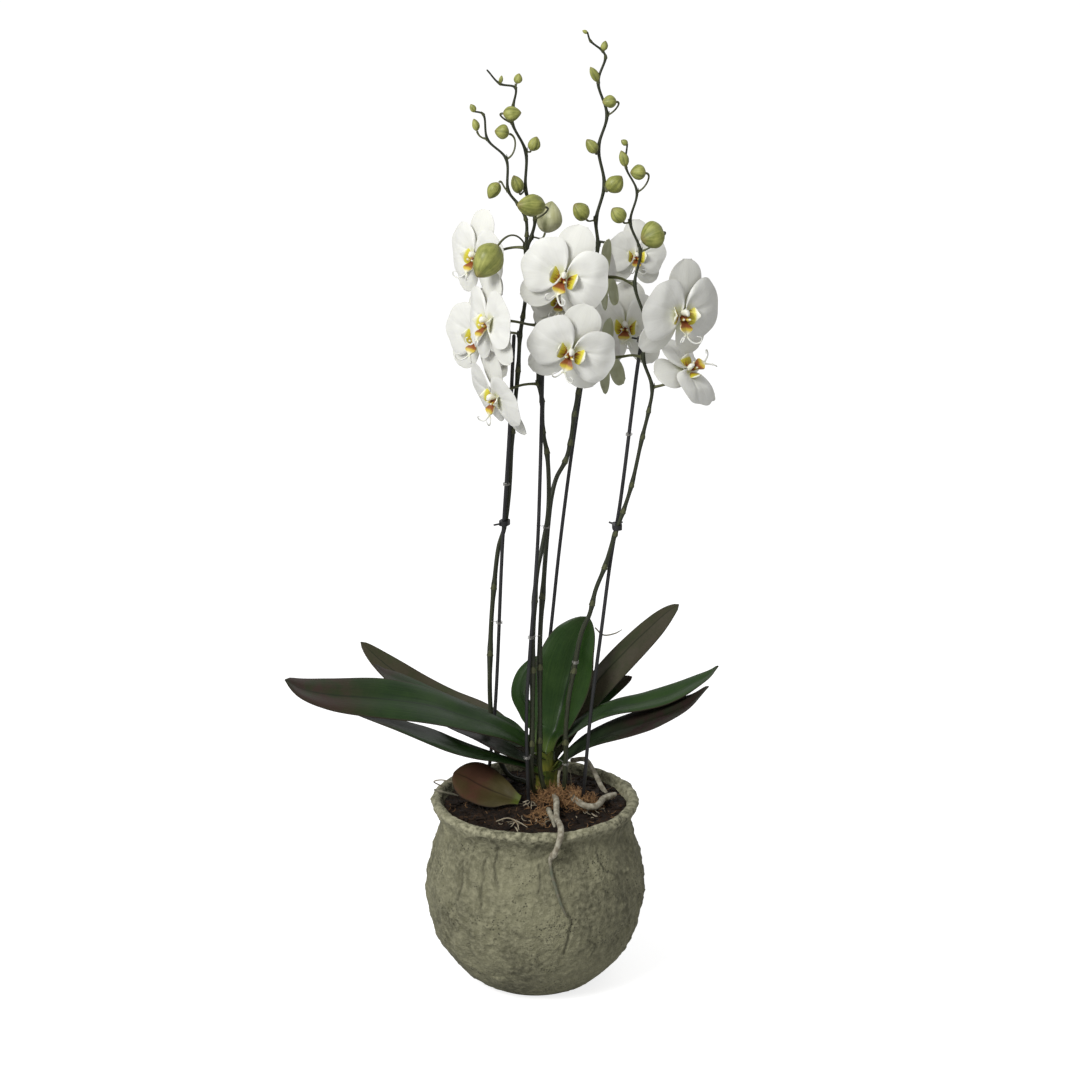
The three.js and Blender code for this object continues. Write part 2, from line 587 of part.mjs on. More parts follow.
function spikeBody(name) {
  const route = raised(SPIKE_ROUTES[name]);
  const parts = [stemBody(name, 0)];
  for (const bloom of Object.values(FLOWERS).filter((f) => f.spike === name)) {
    const look = new THREE.Vector3(0, 0, 1).applyQuaternion(facing(bloom));
    const end = vec(raised([bloom.at])[0]).addScaledVector(look, -FLOWER.neck * bloom.size - GAP);
    parts.push(pedicel(vec(route[bloom.joint]), end, look, PEDICEL.radius, bloom.lead));
  }
  for (const bud of Object.values(BUDS).filter((b) => b.spike === name)) {
    const [base, tip] = raised([bud.base, bud.tip]).map(vec);
    const axis = tip.clone().sub(base).normalize();
    const end = base.clone().addScaledVector(axis, -GAP);
    parts.push(pedicel(vec(route[bud.joint]), end, axis, PEDICEL.budRadius, bud.lead));
  }
  for (const bud of TIP_BUDS.filter((b) => b.spike === name)) {
    const [base, tip] = raised([bud.base, bud.tip]).map(vec);
    parts.push(budBody(base, tip, bud.width));
  }
  return joined(parts);
}

// Spring clip that holds a spike to its stake: a band with two bores and pinching prongs.
function clipBody({ stake, spike, height, prongs }) {
  const z = height + soil;
  const stakeCurve = smooth(rooted(raised(STAKE_ROUTES[stake]), MIX.stakeDepth));
  const spikeCurve = smooth(raised(SPIKE_ROUTES[spike]));
  const a = atHeight(stakeCurve, z);
  const b = atHeight(spikeCurve, z);
  const boreA = STAKE.radius + CLIP.hold;
  const boreB = SPIKE.footRadius + CLIP.hold;
  const along = b.clone().sub(a).setZ(0);
  const span = along.length();
  const angle = Math.atan2(along.y, along.x);
  const reach = Math.max(boreA, boreB) + CLIP.rim;
  const band = new THREE.Shape();
  band.absarc(span, 0, reach, -Math.PI / 2, Math.PI / 2, false);
  band.absarc(0, 0, reach, Math.PI / 2, (3 * Math.PI) / 2, false);
  const flat = { depth: CLIP.height, curveSegments: 6, bevelEnabled: false };
  const solids = [new THREE.ExtrudeGeometry(band, flat)];
  for (let i = 0; i < prongs; i += 1) {
    const lean = rad(150 + 60 * i);
    const tip = [(reach + CLIP.prong) * Math.cos(lean), (reach + CLIP.prong) * Math.sin(lean), CLIP.height / 2];
    const root = [(reach - 1) * Math.cos(lean), (reach - 1) * Math.sin(lean), CLIP.height / 2];
    solids.push(bar(new THREE.LineCurve3(vec(root), vec(tip)), () => 1.1, 6, 1));
  }
  const body = joined(solids);
  body.rotateZ(angle);
  body.translate(a.x, a.y, z - CLIP.height / 2);
  const bore = (curve, radius) => {
    const low = atHeight(curve, z - CLIP.height);
    const high = atHeight(curve, z + CLIP.height);
    return bar(new THREE.LineCurve3(low, high), () => radius, 10, 1);
  };
  return cut(body, [bore(stakeCurve, boreA), bore(spikeCurve, boreB)]);
}

// ---------------------------------------------------------------- roots and moss
// The long root leaves the crown, bends over the rim and runs down the outside of the wall.
const OVER_ROOT = {
  radius: 3.9, thinRadius: 2.2,
  inside: [[20, -5, 10], [21, -14, 12], [22, -26, 14]],
  rimAngle: -76,
  wall: [[-78, 192], [-79.5, 184], [-81.5, 174], [-81, 160], [-79, 144], [-77, 130], [-74.5, 117]],
};

function overRoot() {
  const around = (degrees, r, z) => [r * Math.cos(rad(degrees)), r * Math.sin(rad(degrees)), z];
  const clear = OVER_ROOT.radius + 2 * GAP;
  const points = [
    ...raised(OVER_ROOT.inside),
    around(OVER_ROOT.rimAngle + 4, rimIn.x - 26, POT.height + clear - 2),
    around(OVER_ROOT.rimAngle + 1, rimIn.x - 2, POT.height + clear + 1.5),
    around(OVER_ROOT.rimAngle, rimOut.x - 1, POT.height + clear + 0.5),
    around(OVER_ROOT.rimAngle - 1, rimOut.x + clear + 0.5, POT.height - 2),
    ...OVER_ROOT.wall.map(([degrees, z]) => around(
      degrees, Math.max(radiusAtHeight(outerWall, z), z > POT.neckHeight ? rimOut.x - 2 : 0) + clear, z)),
  ];
  const curve = smooth(points);
  return bar(
    curve, (t) => lerp(OVER_ROOT.radius, OVER_ROOT.thinRadius, THREE.MathUtils.smoothstep(t, 0.55, 1)),
    ROOT.sides, ROOT.stepsPerPoint * points.length);
}

const ROOTS = {
  root_coiled: {
    radius: 3.4,
    spine: [[37, -2, 11], [41, -16, 11], [47, -28, 11], [55, -35, 10], [63, -32, 9], [68, -22, 9], [72, -10, 9],
      [78, -4, 9], [84, 2, 9]],
  },
  root_back: { radius: 2.6, spine: [[40, 48, 30], [54, 44, 32], [61, 37, 24], [67, 29, 15], [72, 17, 9], [75, 11, 8]] },
};

const rootBody = ({ radius, spine }, grow) => bar(
  smooth(raised(spine)), () => radius + grow, ROOT.sides, ROOT.stepsPerPoint * spine.length);

function mossBody() {
  const geometry = new THREE.SphereGeometry(1, 12, 6);
  geometry.scale(MOSS.length / 2, MOSS.width / 2, MOSS.height);
  geometry.rotateZ(rad(-24));
  geometry.translate(MOSS.x, MOSS.y, soil + MIX.dome);
  const ground = turned([
    new THREE.Vector2(0, 0), new THREE.Vector2(mixEdge.x, 0),
    new THREE.Vector2(mixEdge.x, soil + GAP), ...dome(GAP)]);
  const along = ['stake_2', 'stake_4'].map((name) => stakeBody(STAKE_ROUTES[name], GAP));
  const stems = ['spike_2', 'spike_3', 'spike_4'].map((name) => stemBody(name, GAP));
  const root = smooth(raised(OVER_ROOT.inside.concat([[21, -40, 15]])));
  return cut(geometry, [
    ground,
    crownBody(GAP),
    rootBody(ROOTS.root_coiled, GAP),
    bar(root, () => OVER_ROOT.radius + 2 * GAP, 8, 8),
    ...along,
    ...stems,
  ]);
}

// ---------------------------------------------------------------- the whole object
const orchid = new THREE.Group();

function add(name, geometry, material) {
  const mesh = new THREE.Mesh(geometry, material);
  mesh.name = name;
  orchid.add(mesh);
  return mesh;
}

add('pot', turned(potProfile), STONEWARE);
add('potting_mix', cut(turned(mixProfile), [
  crownBody(GAP),
  ...Object.values(STAKE_ROUTES).map((route) => stakeBody(route, GAP)),
  ...Object.keys(SPIKE_ROUTES).map((name) => stemBody(name, GAP)),
]), POTTING_MIX);
add('crown', crownBody(0), CROWN_GREEN);
add('moss_tuft', mossBody(), MOSS_BROWN);
for (const [name, leaf] of Object.entries(LEAVES)) {
  const underside = ['leaf_right_high', 'leaf_back_left', 'leaf_old'].includes(name);
  add(name, leafBody(leaf), underside ? LEAF_BRONZE : LEAF_GREEN);
}
for (const [name, route] of Object.entries(STAKE_ROUTES)) {
  add(name, stakeBody(route, 0), STAKE_BLACK);
}
for (const name of Object.keys(SPIKE_ROUTES)) {
  add(name, spikeBody(name), SPIKE_GREEN);
}
for (const [name, clip] of Object.entries(CLIPS)) {
  add(name, clipBody(clip), STAKE_BLACK);
}
add('root_over_rim', overRoot(), ROOT_SILVER);
for (const [name, root] of Object.entries(ROOTS)) {
  add(name, rootBody(root, 0), ROOT_SILVER);
}
const flower = flowerBody();
for (const [name, bloom] of Object.entries(FLOWERS)) {
  const mesh = add(name, flower, PETAL_WHITE);
  mesh.position.copy(vec(raised([bloom.at])[0]));
  mesh.quaternion.copy(facing(bloom));
  mesh.scale.setScalar(bloom.size);
}
for (const [name, bud] of Object.entries(BUDS)) {
  const [base, tip] = raised([bud.base, bud.tip]).map(vec);
  add(name, budBody(base, tip, bud.width), BUD_GREEN);
}

export default orchid;
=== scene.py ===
"""Potted moth orchid: four staked flower spikes over strap leaves in a stoneware pot.

Sizes are in millimetres where a field or table gives them, and in metres once they reach a
mesh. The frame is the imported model's: +Z up, the front of the plant faces -Y.
"""

import logging
import math
import random
from collections.abc import Callable, Sequence
from dataclasses import dataclass, field
from enum import Enum

import bmesh
import bpy
from mathutils import Matrix, Quaternion, Vector, noise


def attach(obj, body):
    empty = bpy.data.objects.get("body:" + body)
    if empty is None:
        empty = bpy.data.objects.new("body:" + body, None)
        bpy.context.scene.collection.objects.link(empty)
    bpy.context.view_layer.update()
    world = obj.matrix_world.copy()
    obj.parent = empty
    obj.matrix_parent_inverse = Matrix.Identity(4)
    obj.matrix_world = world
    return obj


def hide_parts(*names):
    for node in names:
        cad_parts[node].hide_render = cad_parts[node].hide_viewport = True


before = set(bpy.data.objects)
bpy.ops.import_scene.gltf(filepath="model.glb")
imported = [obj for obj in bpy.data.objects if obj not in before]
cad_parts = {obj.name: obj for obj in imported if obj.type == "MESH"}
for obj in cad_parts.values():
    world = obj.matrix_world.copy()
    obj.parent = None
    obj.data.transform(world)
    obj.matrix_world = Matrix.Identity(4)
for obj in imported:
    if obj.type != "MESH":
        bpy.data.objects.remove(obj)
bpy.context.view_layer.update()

log = logging.getLogger("orchid")

MM = 0.001
TINY = 1e-6
BODY = "root"
SWAY_BACK = Vector((31.0, 0.0, 0.0))
SWAY_UP = Vector((0.0, 47.0, 0.0))
GRAIN = "grain"  # point attribute: place along, place across, side or shade of a piece

Rings = list[list[Vector]]
Mark = tuple[float, float, float]


# ---------------------------------------------------------------- small sums
def lerp(a: float, b: float, t: float) -> float:
    """Value a share t of the way from a to b."""
    return a + (b - a) * t


def smoothstep(low: float, high: float, value: float) -> float:
    """Soft step from 0 at low to 1 at high.

    Args:
        low: Value at which the step starts.
        high: Value at which the step ends.
        value: Value to place on the step.

    Returns:
        A number from 0 to 1.
    """
    t = min(max((value - low) / (high - low), 0.0), 1.0)
    return t * t * (3.0 - 2.0 * t)


def bump(value: float, centre: float, width: float) -> float:
    """Height from 0 to 1 of a soft round bump at centre."""
    return math.exp(-(((value - centre) / width) ** 2))


def mm(x: float, y: float, z: float) -> Vector:
    """Point given in millimetres, in metres."""
    return Vector((x, y, z)) * MM


def above(at: tuple[float, float, float], level: float) -> Vector:
    """Point in metres, given in millimetres with its height above a level."""
    return mm(at[0], at[1], at[2] + level)


# ---------------------------------------------------------------- curves and meshes
@dataclass(frozen=True)
class Route:
    """Smooth centripetal curve through given points."""

    points: tuple[Vector, ...]

    @classmethod
    def raised(cls, points: Sequence[Sequence[float]], level: float) -> "Route":
        """Route through millimetre points measured up from a level.

        Args:
            points: Points as (x, y, z), z from the level.
            level: Height of the level in millimetres.

        Returns:
            The route in metres.
        """
        return cls(tuple(mm(x, y, z + level) for x, y, z in points))

    def point(self, share: float) -> Vector:
        """Point of the curve, where every stretch between points has an equal share.

        Args:
            share: Place from 0 at the first point to 1 at the last.

        Returns:
            The point in metres.
        """
        last = len(self.points) - 1
        place = min(max(share, 0.0), 1.0) * last
        i = min(int(place), last - 1)
        w = place - i
        b, c = self.points[i], self.points[i + 1]
        a = self.points[i - 1] if i > 0 else b * 2 - c
        d = self.points[i + 2] if i + 2 <= last else c * 2 - b
        before, within, after = ((q - p).length ** 0.5 for p, q in ((a, b), (b, c), (c, d)))
        leave = ((b - a) / before - (c - a) / (before + within) + (c - b) / within) * within
        arrive = ((c - b) / within - (d - b) / (within + after) + (d - c) / after) * within
        square = (c - b) * 3 - leave * 2 - arrive
        cube = (b - c) * 2 + leave + arrive
        return b + leave * w + square * w**2 + cube * w**3

    def tangent(self, share: float) -> Vector:
        """Unit direction of the curve at a share of its stretches."""
        step = 0.002
        return (self.point(min(share + step, 1.0)) - self.point(max(share - step, 0.0))).normalized()

    def even(self, count: int) -> list[float]:
        """Shares that split the curve into count stretches of equal length.

        Args:
            count: Number of stretches.

        Returns:
            Shares of the curve, from 0 to 1.
        """
        fine = 24 * (len(self.points) - 1)
        places = [self.point(i / fine) for i in range(fine + 1)]
        lengths = [0.0]
        for p, q in zip(places, places[1:]):
            lengths.append(lengths[-1] + (q - p).length)
        shares = []
        k = 0
        for i in range(count + 1):
            goal = lengths[-1] * i / count
            while k < fine - 1 and lengths[k + 1] < goal:
                k += 1
            span = lengths[k + 1] - lengths[k]
            shares.append(min(1.0, (k + (goal - lengths[k]) / max(span, TINY * TINY)) / fine))
        return shares

    def share_at_height(self, height: float) -> float:
        """Share at which a rising curve passes a height in metres.

        Args:
            height: Height above the floor in metres.

        Returns:
            Share of the curve.
        """
        low, high = 0.0, 1.0
        for _ in range(24):
            middle = (low + high) / 2
            if self.point(middle).z < height:
                low = middle
            else:
                high = middle
        return low


class Mesher:
    """Gathers closed bodies for one piece, then makes its object."""

    def __init__(self) -> None:
        """Starts with nothing."""
        self.points: list[Vector] = []
        self.marks: list[Mark] = []
        self.faces: list[tuple[int, ...]] = []
        self.tones: list[int] = []

    def rings(self, rings: Rings, marks: list[list[Mark]], tone: int = 0) -> None:
        """Adds a body through closed rings, with a fan over each end.

        Args:
            rings: Rings of equal count.
            marks: Grain of every point.
            tone: Index of the finish.
        """
        base = len(self.points)
        n = len(rings[0])
        for ring, row in zip(rings, marks):
            self.points.extend(ring)
            self.marks.extend(row)
        for r in range(len(rings) - 1):
            for i in range(n):
                j = (i + 1) % n
                a = base + r * n
                self.faces.append((a + i, a + j, a + n + j, a + n + i))
        for r, flip in ((0, True), (len(rings) - 1, False)):
            hub = len(self.points)
            self.points.append(sum(rings[r], Vector()) / n)
            self.marks.append(marks[r][0])
            for i in range(n):
                a, b = base + r * n + i, base + r * n + (i + 1) % n
                self.faces.append((b, a, hub) if flip else (a, b, hub))
        self.tones.extend([tone] * (len(self.faces) - len(self.tones)))

    def tube(
        self,
        spine: Sequence[Vector],
        radius: Callable[[float, float], float],
        sides: int,
        shade: float = 0.0,
        tone: int = 0,
        ends: tuple[bool, bool] = (False, True),
    ) -> None:
        """Adds a round bar along points.

        Args:
            spine: Centres of its rings, in metres.
            radius: Radius in metres from the share along and the angle round the bar.
            sides: Points in a ring.
            shade: Third value of the grain.
            tone: Index of the finish.
            ends: Whether the first and the last end are rounded.
        """
        count = len(spine)
        along = [
            (spine[min(i + 1, count - 1)] - spine[max(i - 1, 0)]).normalized() for i in range(count)
        ]
        across = along[0].orthogonal().normalized()
        rings: Rings = []
        marks: list[list[Mark]] = []
        run = 0.0

        def ring(centre: Vector, share: float, scale: float, normal: Vector, forward: Vector) -> None:
            """Adds one ring of points round the spine.

            Args:
                centre: Middle of the ring.
                share: Share along the spine.
                scale: Size against the full radius.
                normal: Direction of its first point.
                forward: Direction of the spine.
            """
            other = forward.cross(normal)
            row = []
            for k in range(sides):
                angle = 2 * math.pi * k / sides
                r = radius(share, angle) * scale
                row.append(centre + normal * (r * math.cos(angle)) + other * (r * math.sin(angle)))
            rings.append(row)
            marks.append([(run / 0.01, k / sides, shade) for k in range(sides)])

        for i, centre in enumerate(spine):
            share = i / (count - 1)
            across = (across - along[i] * across.dot(along[i])).normalized()
            if i == 0 and ends[0]:
                for angle in (0.35, 0.9):
                    back = along[i] * (radius(0.0, 0.0) * math.cos(angle))
                    ring(centre - back, 0.0, math.sin(angle), across, along[i])
            ring(centre, share, 1.0, across, along[i])
            if i == count - 1 and ends[1]:
                for angle in (0.9, 0.35):
                    front = along[i] * (radius(1.0, 0.0) * math.cos(angle))
                    ring(centre + front, 1.0, math.sin(angle), across, along[i])
            if i < count - 1:
                run += (spine[i + 1] - centre).length
        self.rings(rings, marks, tone)

    def sheet(
        self,
        grid: Rings,
        thickness: Callable[[float, float], float],
        shade: tuple[float, float] = (0.0, 1.0),
        tone: int = 0,
    ) -> None:
        """Adds a closed sheet over a grid of points.

        Args:
            grid: Rows along the sheet; each row runs across it. The front faces row x column.
            thickness: Thickness in metres from the shares along (0 to 1) and across (-1 to 1).
            shade: Third grain value of the under side and of the front.
            tone: Index of the finish.
        """
        rows, cols = len(grid), len(grid[0])
        base = len(self.points)
        normals: Rings = []
        for i in range(rows):
            line = []
            for j in range(cols):
                down = grid[min(i + 1, rows - 1)][j] - grid[max(i - 1, 0)][j]
                over = grid[i][min(j + 1, cols - 1)] - grid[i][max(j - 1, 0)]
                normal = over.cross(down)
                if normal.length < TINY * TINY:
                    normal = line[-1] if line else Vector((0, 0, 1))
                line.append(normal.normalized())
            normals.append(line)
        for sign, level in ((1, shade[1]), (-1, shade[0])):
            for i in range(rows):
                for j in range(cols):
                    u, v = i / (rows - 1), 2 * j / (cols - 1) - 1
                    half = 0.5 * thickness(u, v)
                    self.points.append(grid[i][j] + normals[i][j] * (sign * half))
                    self.marks.append((u, v, level))
        back = base + rows * cols
        for i in range(rows - 1):
            for j in range(cols - 1):
                a = i * cols + j
                self.faces.append((base + a, base + a + 1, base + a + cols + 1, base + a + cols))
                self.faces.append((back + a, back + a + cols, back + a + cols + 1, back + a + 1))
        rim = [j for j in range(cols)]
        rim += [i * cols + cols - 1 for i in range(1, rows)]
        rim += [(rows - 1) * cols + j for j in range(cols - 2, -1, -1)]
        rim += [i * cols for i in range(rows - 2, 0, -1)]
        for a, b in zip(rim, rim[1:] + rim[:1]):
            self.faces.append((base + a, back + a, back + b, base + b))
        self.tones.extend([tone] * (len(self.faces) - len(self.tones)))

    def object(self, name: str, finishes: Sequence["Finish"], sharp: float = 50.0) -> bpy.types.Object:
        """Makes the piece.

        Args:
            name: Name of the object.
            finishes: Finish for each tone.
            sharp: Angle in degrees above which an edge stays sharp.

        Returns:
            The new object.
        """
        mesh = bpy.data.meshes.new(name)
        mesh.from_pydata([tuple(p) for p in self.points], [], self.faces)
        grain = mesh.attributes.new(GRAIN, "FLOAT_VECTOR", "POINT")
        grain.data.foreach_set("vector", [value for mark in self.marks for value in mark])
        for finish in finishes:
            mesh.materials.append(finish.material())
        mesh.polygons.foreach_set("material_index", self.tones)
        shape = bmesh.new()
        shape.from_mesh(mesh)
        bmesh.ops.recalc_face_normals(shape, faces=shape.faces)
        limit = math.radians(sharp)
        for edge in shape.edges:
            edge.smooth = edge.calc_face_angle(0.0) < limit
        for face in shape.faces:
            face.smooth = True
        shape.to_mesh(mesh)
        shape.free()
        piece = bpy.data.objects.new(name, mesh)
        bpy.context.scene.collection.objects.link(piece)
        return piece


def settle(piece: bpy.types.Object, slot: str, *nodes: str) -> bpy.types.Object:
    """Rides a piece on the plant and hides the CAD nodes it stands for.

    Args:
        piece: The new piece, in place.
        slot: Material slot of the record; not used.
        nodes: CAD nodes that it replaces.

    Returns:
        The same piece.
    """
    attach(piece, BODY)
    if nodes:
        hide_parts(*nodes)
    log.info("%s: %d faces", piece.name, len(piece.data.polygons))
    return piece


# ---------------------------------------------------------------- shader nodes
Socket = bpy.types.NodeSocket
Node = bpy.types.Node
Colour = tuple[float, float, float]


class Graph:
    """Short way to place and join shader nodes in one tree."""

    def __init__(self, tree: bpy.types.NodeTree) -> None:
        """Takes the tree to work in."""
        self.tree = tree

    def node(self, kind: str, settings: dict | None = None, inputs: dict | None = None) -> Node:
        """Places a node.

        Args:
            kind: Node type, without its ShaderNode prefix.
            settings: Properties to set.
            inputs: Input values, or sockets to join to them.

        Returns:
            The node.
        """
        made = self.tree.nodes.new(kind if kind.startswith("Node") else f"ShaderNode{kind}")
        for key, value in (settings or {}).items():
            setattr(made, key, value)
        for key, value in (inputs or {}).items():
            if isinstance(value, Socket):
                self.tree.links.new(value, made.inputs[key])
            else:
                made.inputs[key].default_value = value
        return made

    def grain(self) -> Socket:
        """The grain of the piece: along, across, side."""
        return self.node("Attribute", {"attribute_name": GRAIN}).outputs["Vector"]

    def grain_part(self, part: str) -> Socket:
        """One value of the grain, by X, Y or Z."""
        return self.node("SeparateXYZ", inputs={0: self.grain()}).outputs[part]

    def place(self) -> Socket:
        """Place on the piece in metres."""
        return self.node("TexCoord").outputs["Object"]

    def mix(self, factor: Socket, a: Colour | Socket, b: Colour | Socket) -> Socket:
        """Colour between a and b by a factor that changes over the surface.

        Args:
            factor: 0 for a, 1 for b.
            a: First colour.
            b: Second colour.

        Returns:
            The colour socket.
        """
        made = self.node("Mix", {"data_type": "RGBA"}, {0: factor})
        for index, value in ((6, a), (7, b)):
            if isinstance(value, Socket):
                self.tree.links.new(value, made.inputs[index])
            else:
                made.inputs[index].default_value = (*value, 1.0)
        return made.outputs[2]

    def sums(
            self, operation: str, a: Socket | float, b: Socket | float = 0.0, clamp: bool = False
    ) -> Socket:
        """One step of arithmetic on values.

        Args:
            operation: Name of the step.
            a: First value.
            b: Second value.
            clamp: Whether it stays within 0 and 1.

        Returns:
            The result.
        """
        settings = {"operation": operation, "use_clamp": clamp}
        return self.node("Math", settings, {0: a, 1: b}).outputs[0]

    def times(self, a: Socket | float, b: Socket | float) -> Socket:
        """Product of two values."""
        return self.sums("MULTIPLY", a, b)

    def span(
            self, value: Socket, low: float, high: float, to_low: float = 0.0, to_high: float = 1.0
    ) -> Socket:
        """Soft step of a value from low to high, put between to_low and to_high.

        Args:
            value: Value that is stepped.
            low: Where the step starts.
            high: Where it ends.
            to_low: Result at its start.
            to_high: Result at its end.

        Returns:
            The stepped value.
        """
        return self.node(
            "MapRange",
            {"interpolation_type": "SMOOTHSTEP"},
            {"Value": value, "From Min": low, "From Max": high, "To Min": to_low, "To Max": to_high},
        ).outputs["Result"]

    def ramp(self, factor: Socket, stops: Sequence[tuple[float, Colour]]) -> Socket:
        """Colour ramp.

        Args:
            factor: Place on the ramp.
            stops: Places and their colours.

        Returns:
            The colour socket.
        """
        made = self.node("ValToRGB", inputs={0: factor})
        made.color_ramp.interpolation = "EASE"
        while len(made.color_ramp.elements) < len(stops):
            made.color_ramp.elements.new(0.5)
        for element, (place, colour) in zip(made.color_ramp.elements, stops):
            element.position = place
            element.color = (*colour, 1.0)
        return made.outputs["Color"]


class Effect(Enum):
    """Surface effects that several finishes share."""

    MOTTLE = "mottle"
    STREAKS = "streaks"
    PITS = "pits"


class EffectLibrary:
    """Builds each effect's node group once and places it where a finish asks."""

    @staticmethod
    def _shell(
            name: str, inputs: Sequence[tuple[str, str, float]], output: str
    ) -> tuple[Graph, Node, Node]:
        """Empty group with its sockets.

        Args:
            name: Name of the group.
            inputs: Name, socket type and value of each input.
            output: Name of the one output.

        Returns:
            The graph, the group's input node and its output node.
        """
        tree = bpy.data.node_groups.new(name, "ShaderNodeTree")
        for label, kind, value in inputs:
            made = tree.interface.new_socket(label, in_out="INPUT", socket_type=kind)
            if kind == "NodeSocketFloat":
                made.default_value = value
        tree.interface.new_socket(output, in_out="OUTPUT", socket_type="NodeSocketFloat")
        graph = Graph(tree)
        return graph, graph.node("NodeGroupInput"), graph.node("NodeGroupOutput")

    @classmethod
    def _mottle(cls) -> None:
        """Cloudy mask from noise, stepped between two levels."""
        g, given, out = cls._shell(Effect.MOTTLE.value, (
            ("Place", "NodeSocketVector", 0), ("Scale", "NodeSocketFloat", 10.0),
            ("Detail", "NodeSocketFloat", 5.0), ("Low", "NodeSocketFloat", 0.35),
            ("High", "NodeSocketFloat", 0.65)), "Mask")
        cloud = g.node("TexNoise", inputs={
            "Vector": given.outputs["Place"], "Scale": given.outputs["Scale"],
            "Detail": given.outputs["Detail"], "Roughness": 0.6})
        step = g.node("MapRange", {"interpolation_type": "SMOOTHSTEP"}, {
            "Value": cloud.outputs[0], "From Min": given.outputs["Low"],
            "From Max": given.outputs["High"]})
        g.tree.links.new(step.outputs["Result"], out.inputs["Mask"])

    @classmethod
    def _streaks(cls) -> None:
        """Fine lines that run along a piece, from its grain."""
        g, given, out = cls._shell(Effect.STREAKS.value, (
            ("Grain", "NodeSocketVector", 0), ("Along", "NodeSocketFloat", 2.0),
            ("Across", "NodeSocketFloat", 30.0)), "Streaks")
        parts = g.node("SeparateXYZ", inputs={0: given.outputs["Grain"]})
        x = g.times(parts.outputs["X"], given.outputs["Along"])
        y = g.times(parts.outputs["Y"], given.outputs["Across"])
        joined = g.node("CombineXYZ", inputs={"X": x, "Y": y, "Z": parts.outputs["Z"]})
        lines = g.node("TexNoise", inputs={
            "Vector": joined.outputs[0], "Scale": 1.0, "Detail": 3.0, "Roughness": 0.55})
        step = g.span(lines.outputs[0], 0.3, 0.7)
        g.tree.links.new(step, out.inputs["Streaks"])

    @classmethod
    def _pits(cls) -> None:
        """Small round pits in a surface: 0 in a pit, 1 between them."""
        g, given, out = cls._shell(Effect.PITS.value, (
            ("Place", "NodeSocketVector", 0), ("Scale", "NodeSocketFloat", 200.0),
            ("Size", "NodeSocketFloat", 0.35)), "Level")
        cells = g.node("TexVoronoi", inputs={
            "Vector": given.outputs["Place"], "Scale": given.outputs["Scale"]})
        step = g.node("MapRange", {"interpolation_type": "SMOOTHSTEP"}, {
            "Value": cells.outputs["Distance"], "From Min": 0.0, "From Max": given.outputs["Size"]})
        g.tree.links.new(step.outputs["Result"], out.inputs["Level"])

    @classmethod
    def use(cls, graph: Graph, effect: Effect, **inputs: Socket | float) -> Socket:
        """Places an effect in a material.

        Args:
            graph: Graph of the material.
            effect: Which effect.
            inputs: Its named inputs.

        Returns:
            The effect's output.
        """
        if effect.value not in bpy.data.node_groups:
            {Effect.MOTTLE: cls._mottle, Effect.STREAKS: cls._streaks, Effect.PITS: cls._pits}[effect]()
        made = graph.node("Group", {"node_tree": bpy.data.node_groups[effect.value]}, inputs)
        return made.outputs[0]


def mottle(g: Graph, scale: float, detail: float, low: float, high: float) -> Socket:
    """Cloudy mask over a whole piece.

    Args:
        g: Graph of the material.
        scale: Clouds to the metre.
        detail: How many finer layers they have.
        low: Level of the noise where the mask is 0.
        high: Level of the noise where the mask is 1.

    Returns:
        The mask.
    """
    place = g.place()
    return EffectLibrary.use(g, Effect.MOTTLE, Place=place, Scale=scale, Detail=detail, Low=low, High=high)


# ---------------------------------------------------------------- finishes
@dataclass(frozen=True)
class Finish:
    """A material, made once and shared by every piece that has it."""

    name: str
    roughness: float = 0.5

    def material(self) -> bpy.types.Material:
        """The material, built on first use.

        Returns:
            The material.
        """
        label = f"{self.name} finish"
        if label in bpy.data.materials:
            return bpy.data.materials[label]
        made = bpy.data.materials.new(label)
        made.use_nodes = True
        graph = Graph(made.node_tree)
        shader = made.node_tree.nodes["Principled BSDF"]
        shader.inputs["Roughness"].default_value = self.roughness
        self.dress(graph, shader)
        return made

    def dress(self, g: Graph, shader: Node) -> None:
        """Joins colour, roughness and bump to the shader."""
        raise NotImplementedError

    def colour(self, g: Graph, shader: Node, colour: Socket) -> None:
        """Joins the base colour."""
        g.tree.links.new(colour, shader.inputs["Base Color"])

    def rough(self, g: Graph, shader: Node, mask: Socket, low: float, high: float) -> None:
        """Varies the roughness from low to high by a mask."""
        g.tree.links.new(g.span(mask, 0.0, 1.0, low, high), shader.inputs["Roughness"])

    def relief(
            self, g: Graph, shader: Node, height: Socket, strength: float, distance: float
    ) -> None:
        """Bumps the surface by a height, over a distance in metres."""
        made = g.node("Bump", inputs={"Height": height, "Strength": strength, "Distance": distance})
        g.tree.links.new(made.outputs["Normal"], shader.inputs["Normal"])


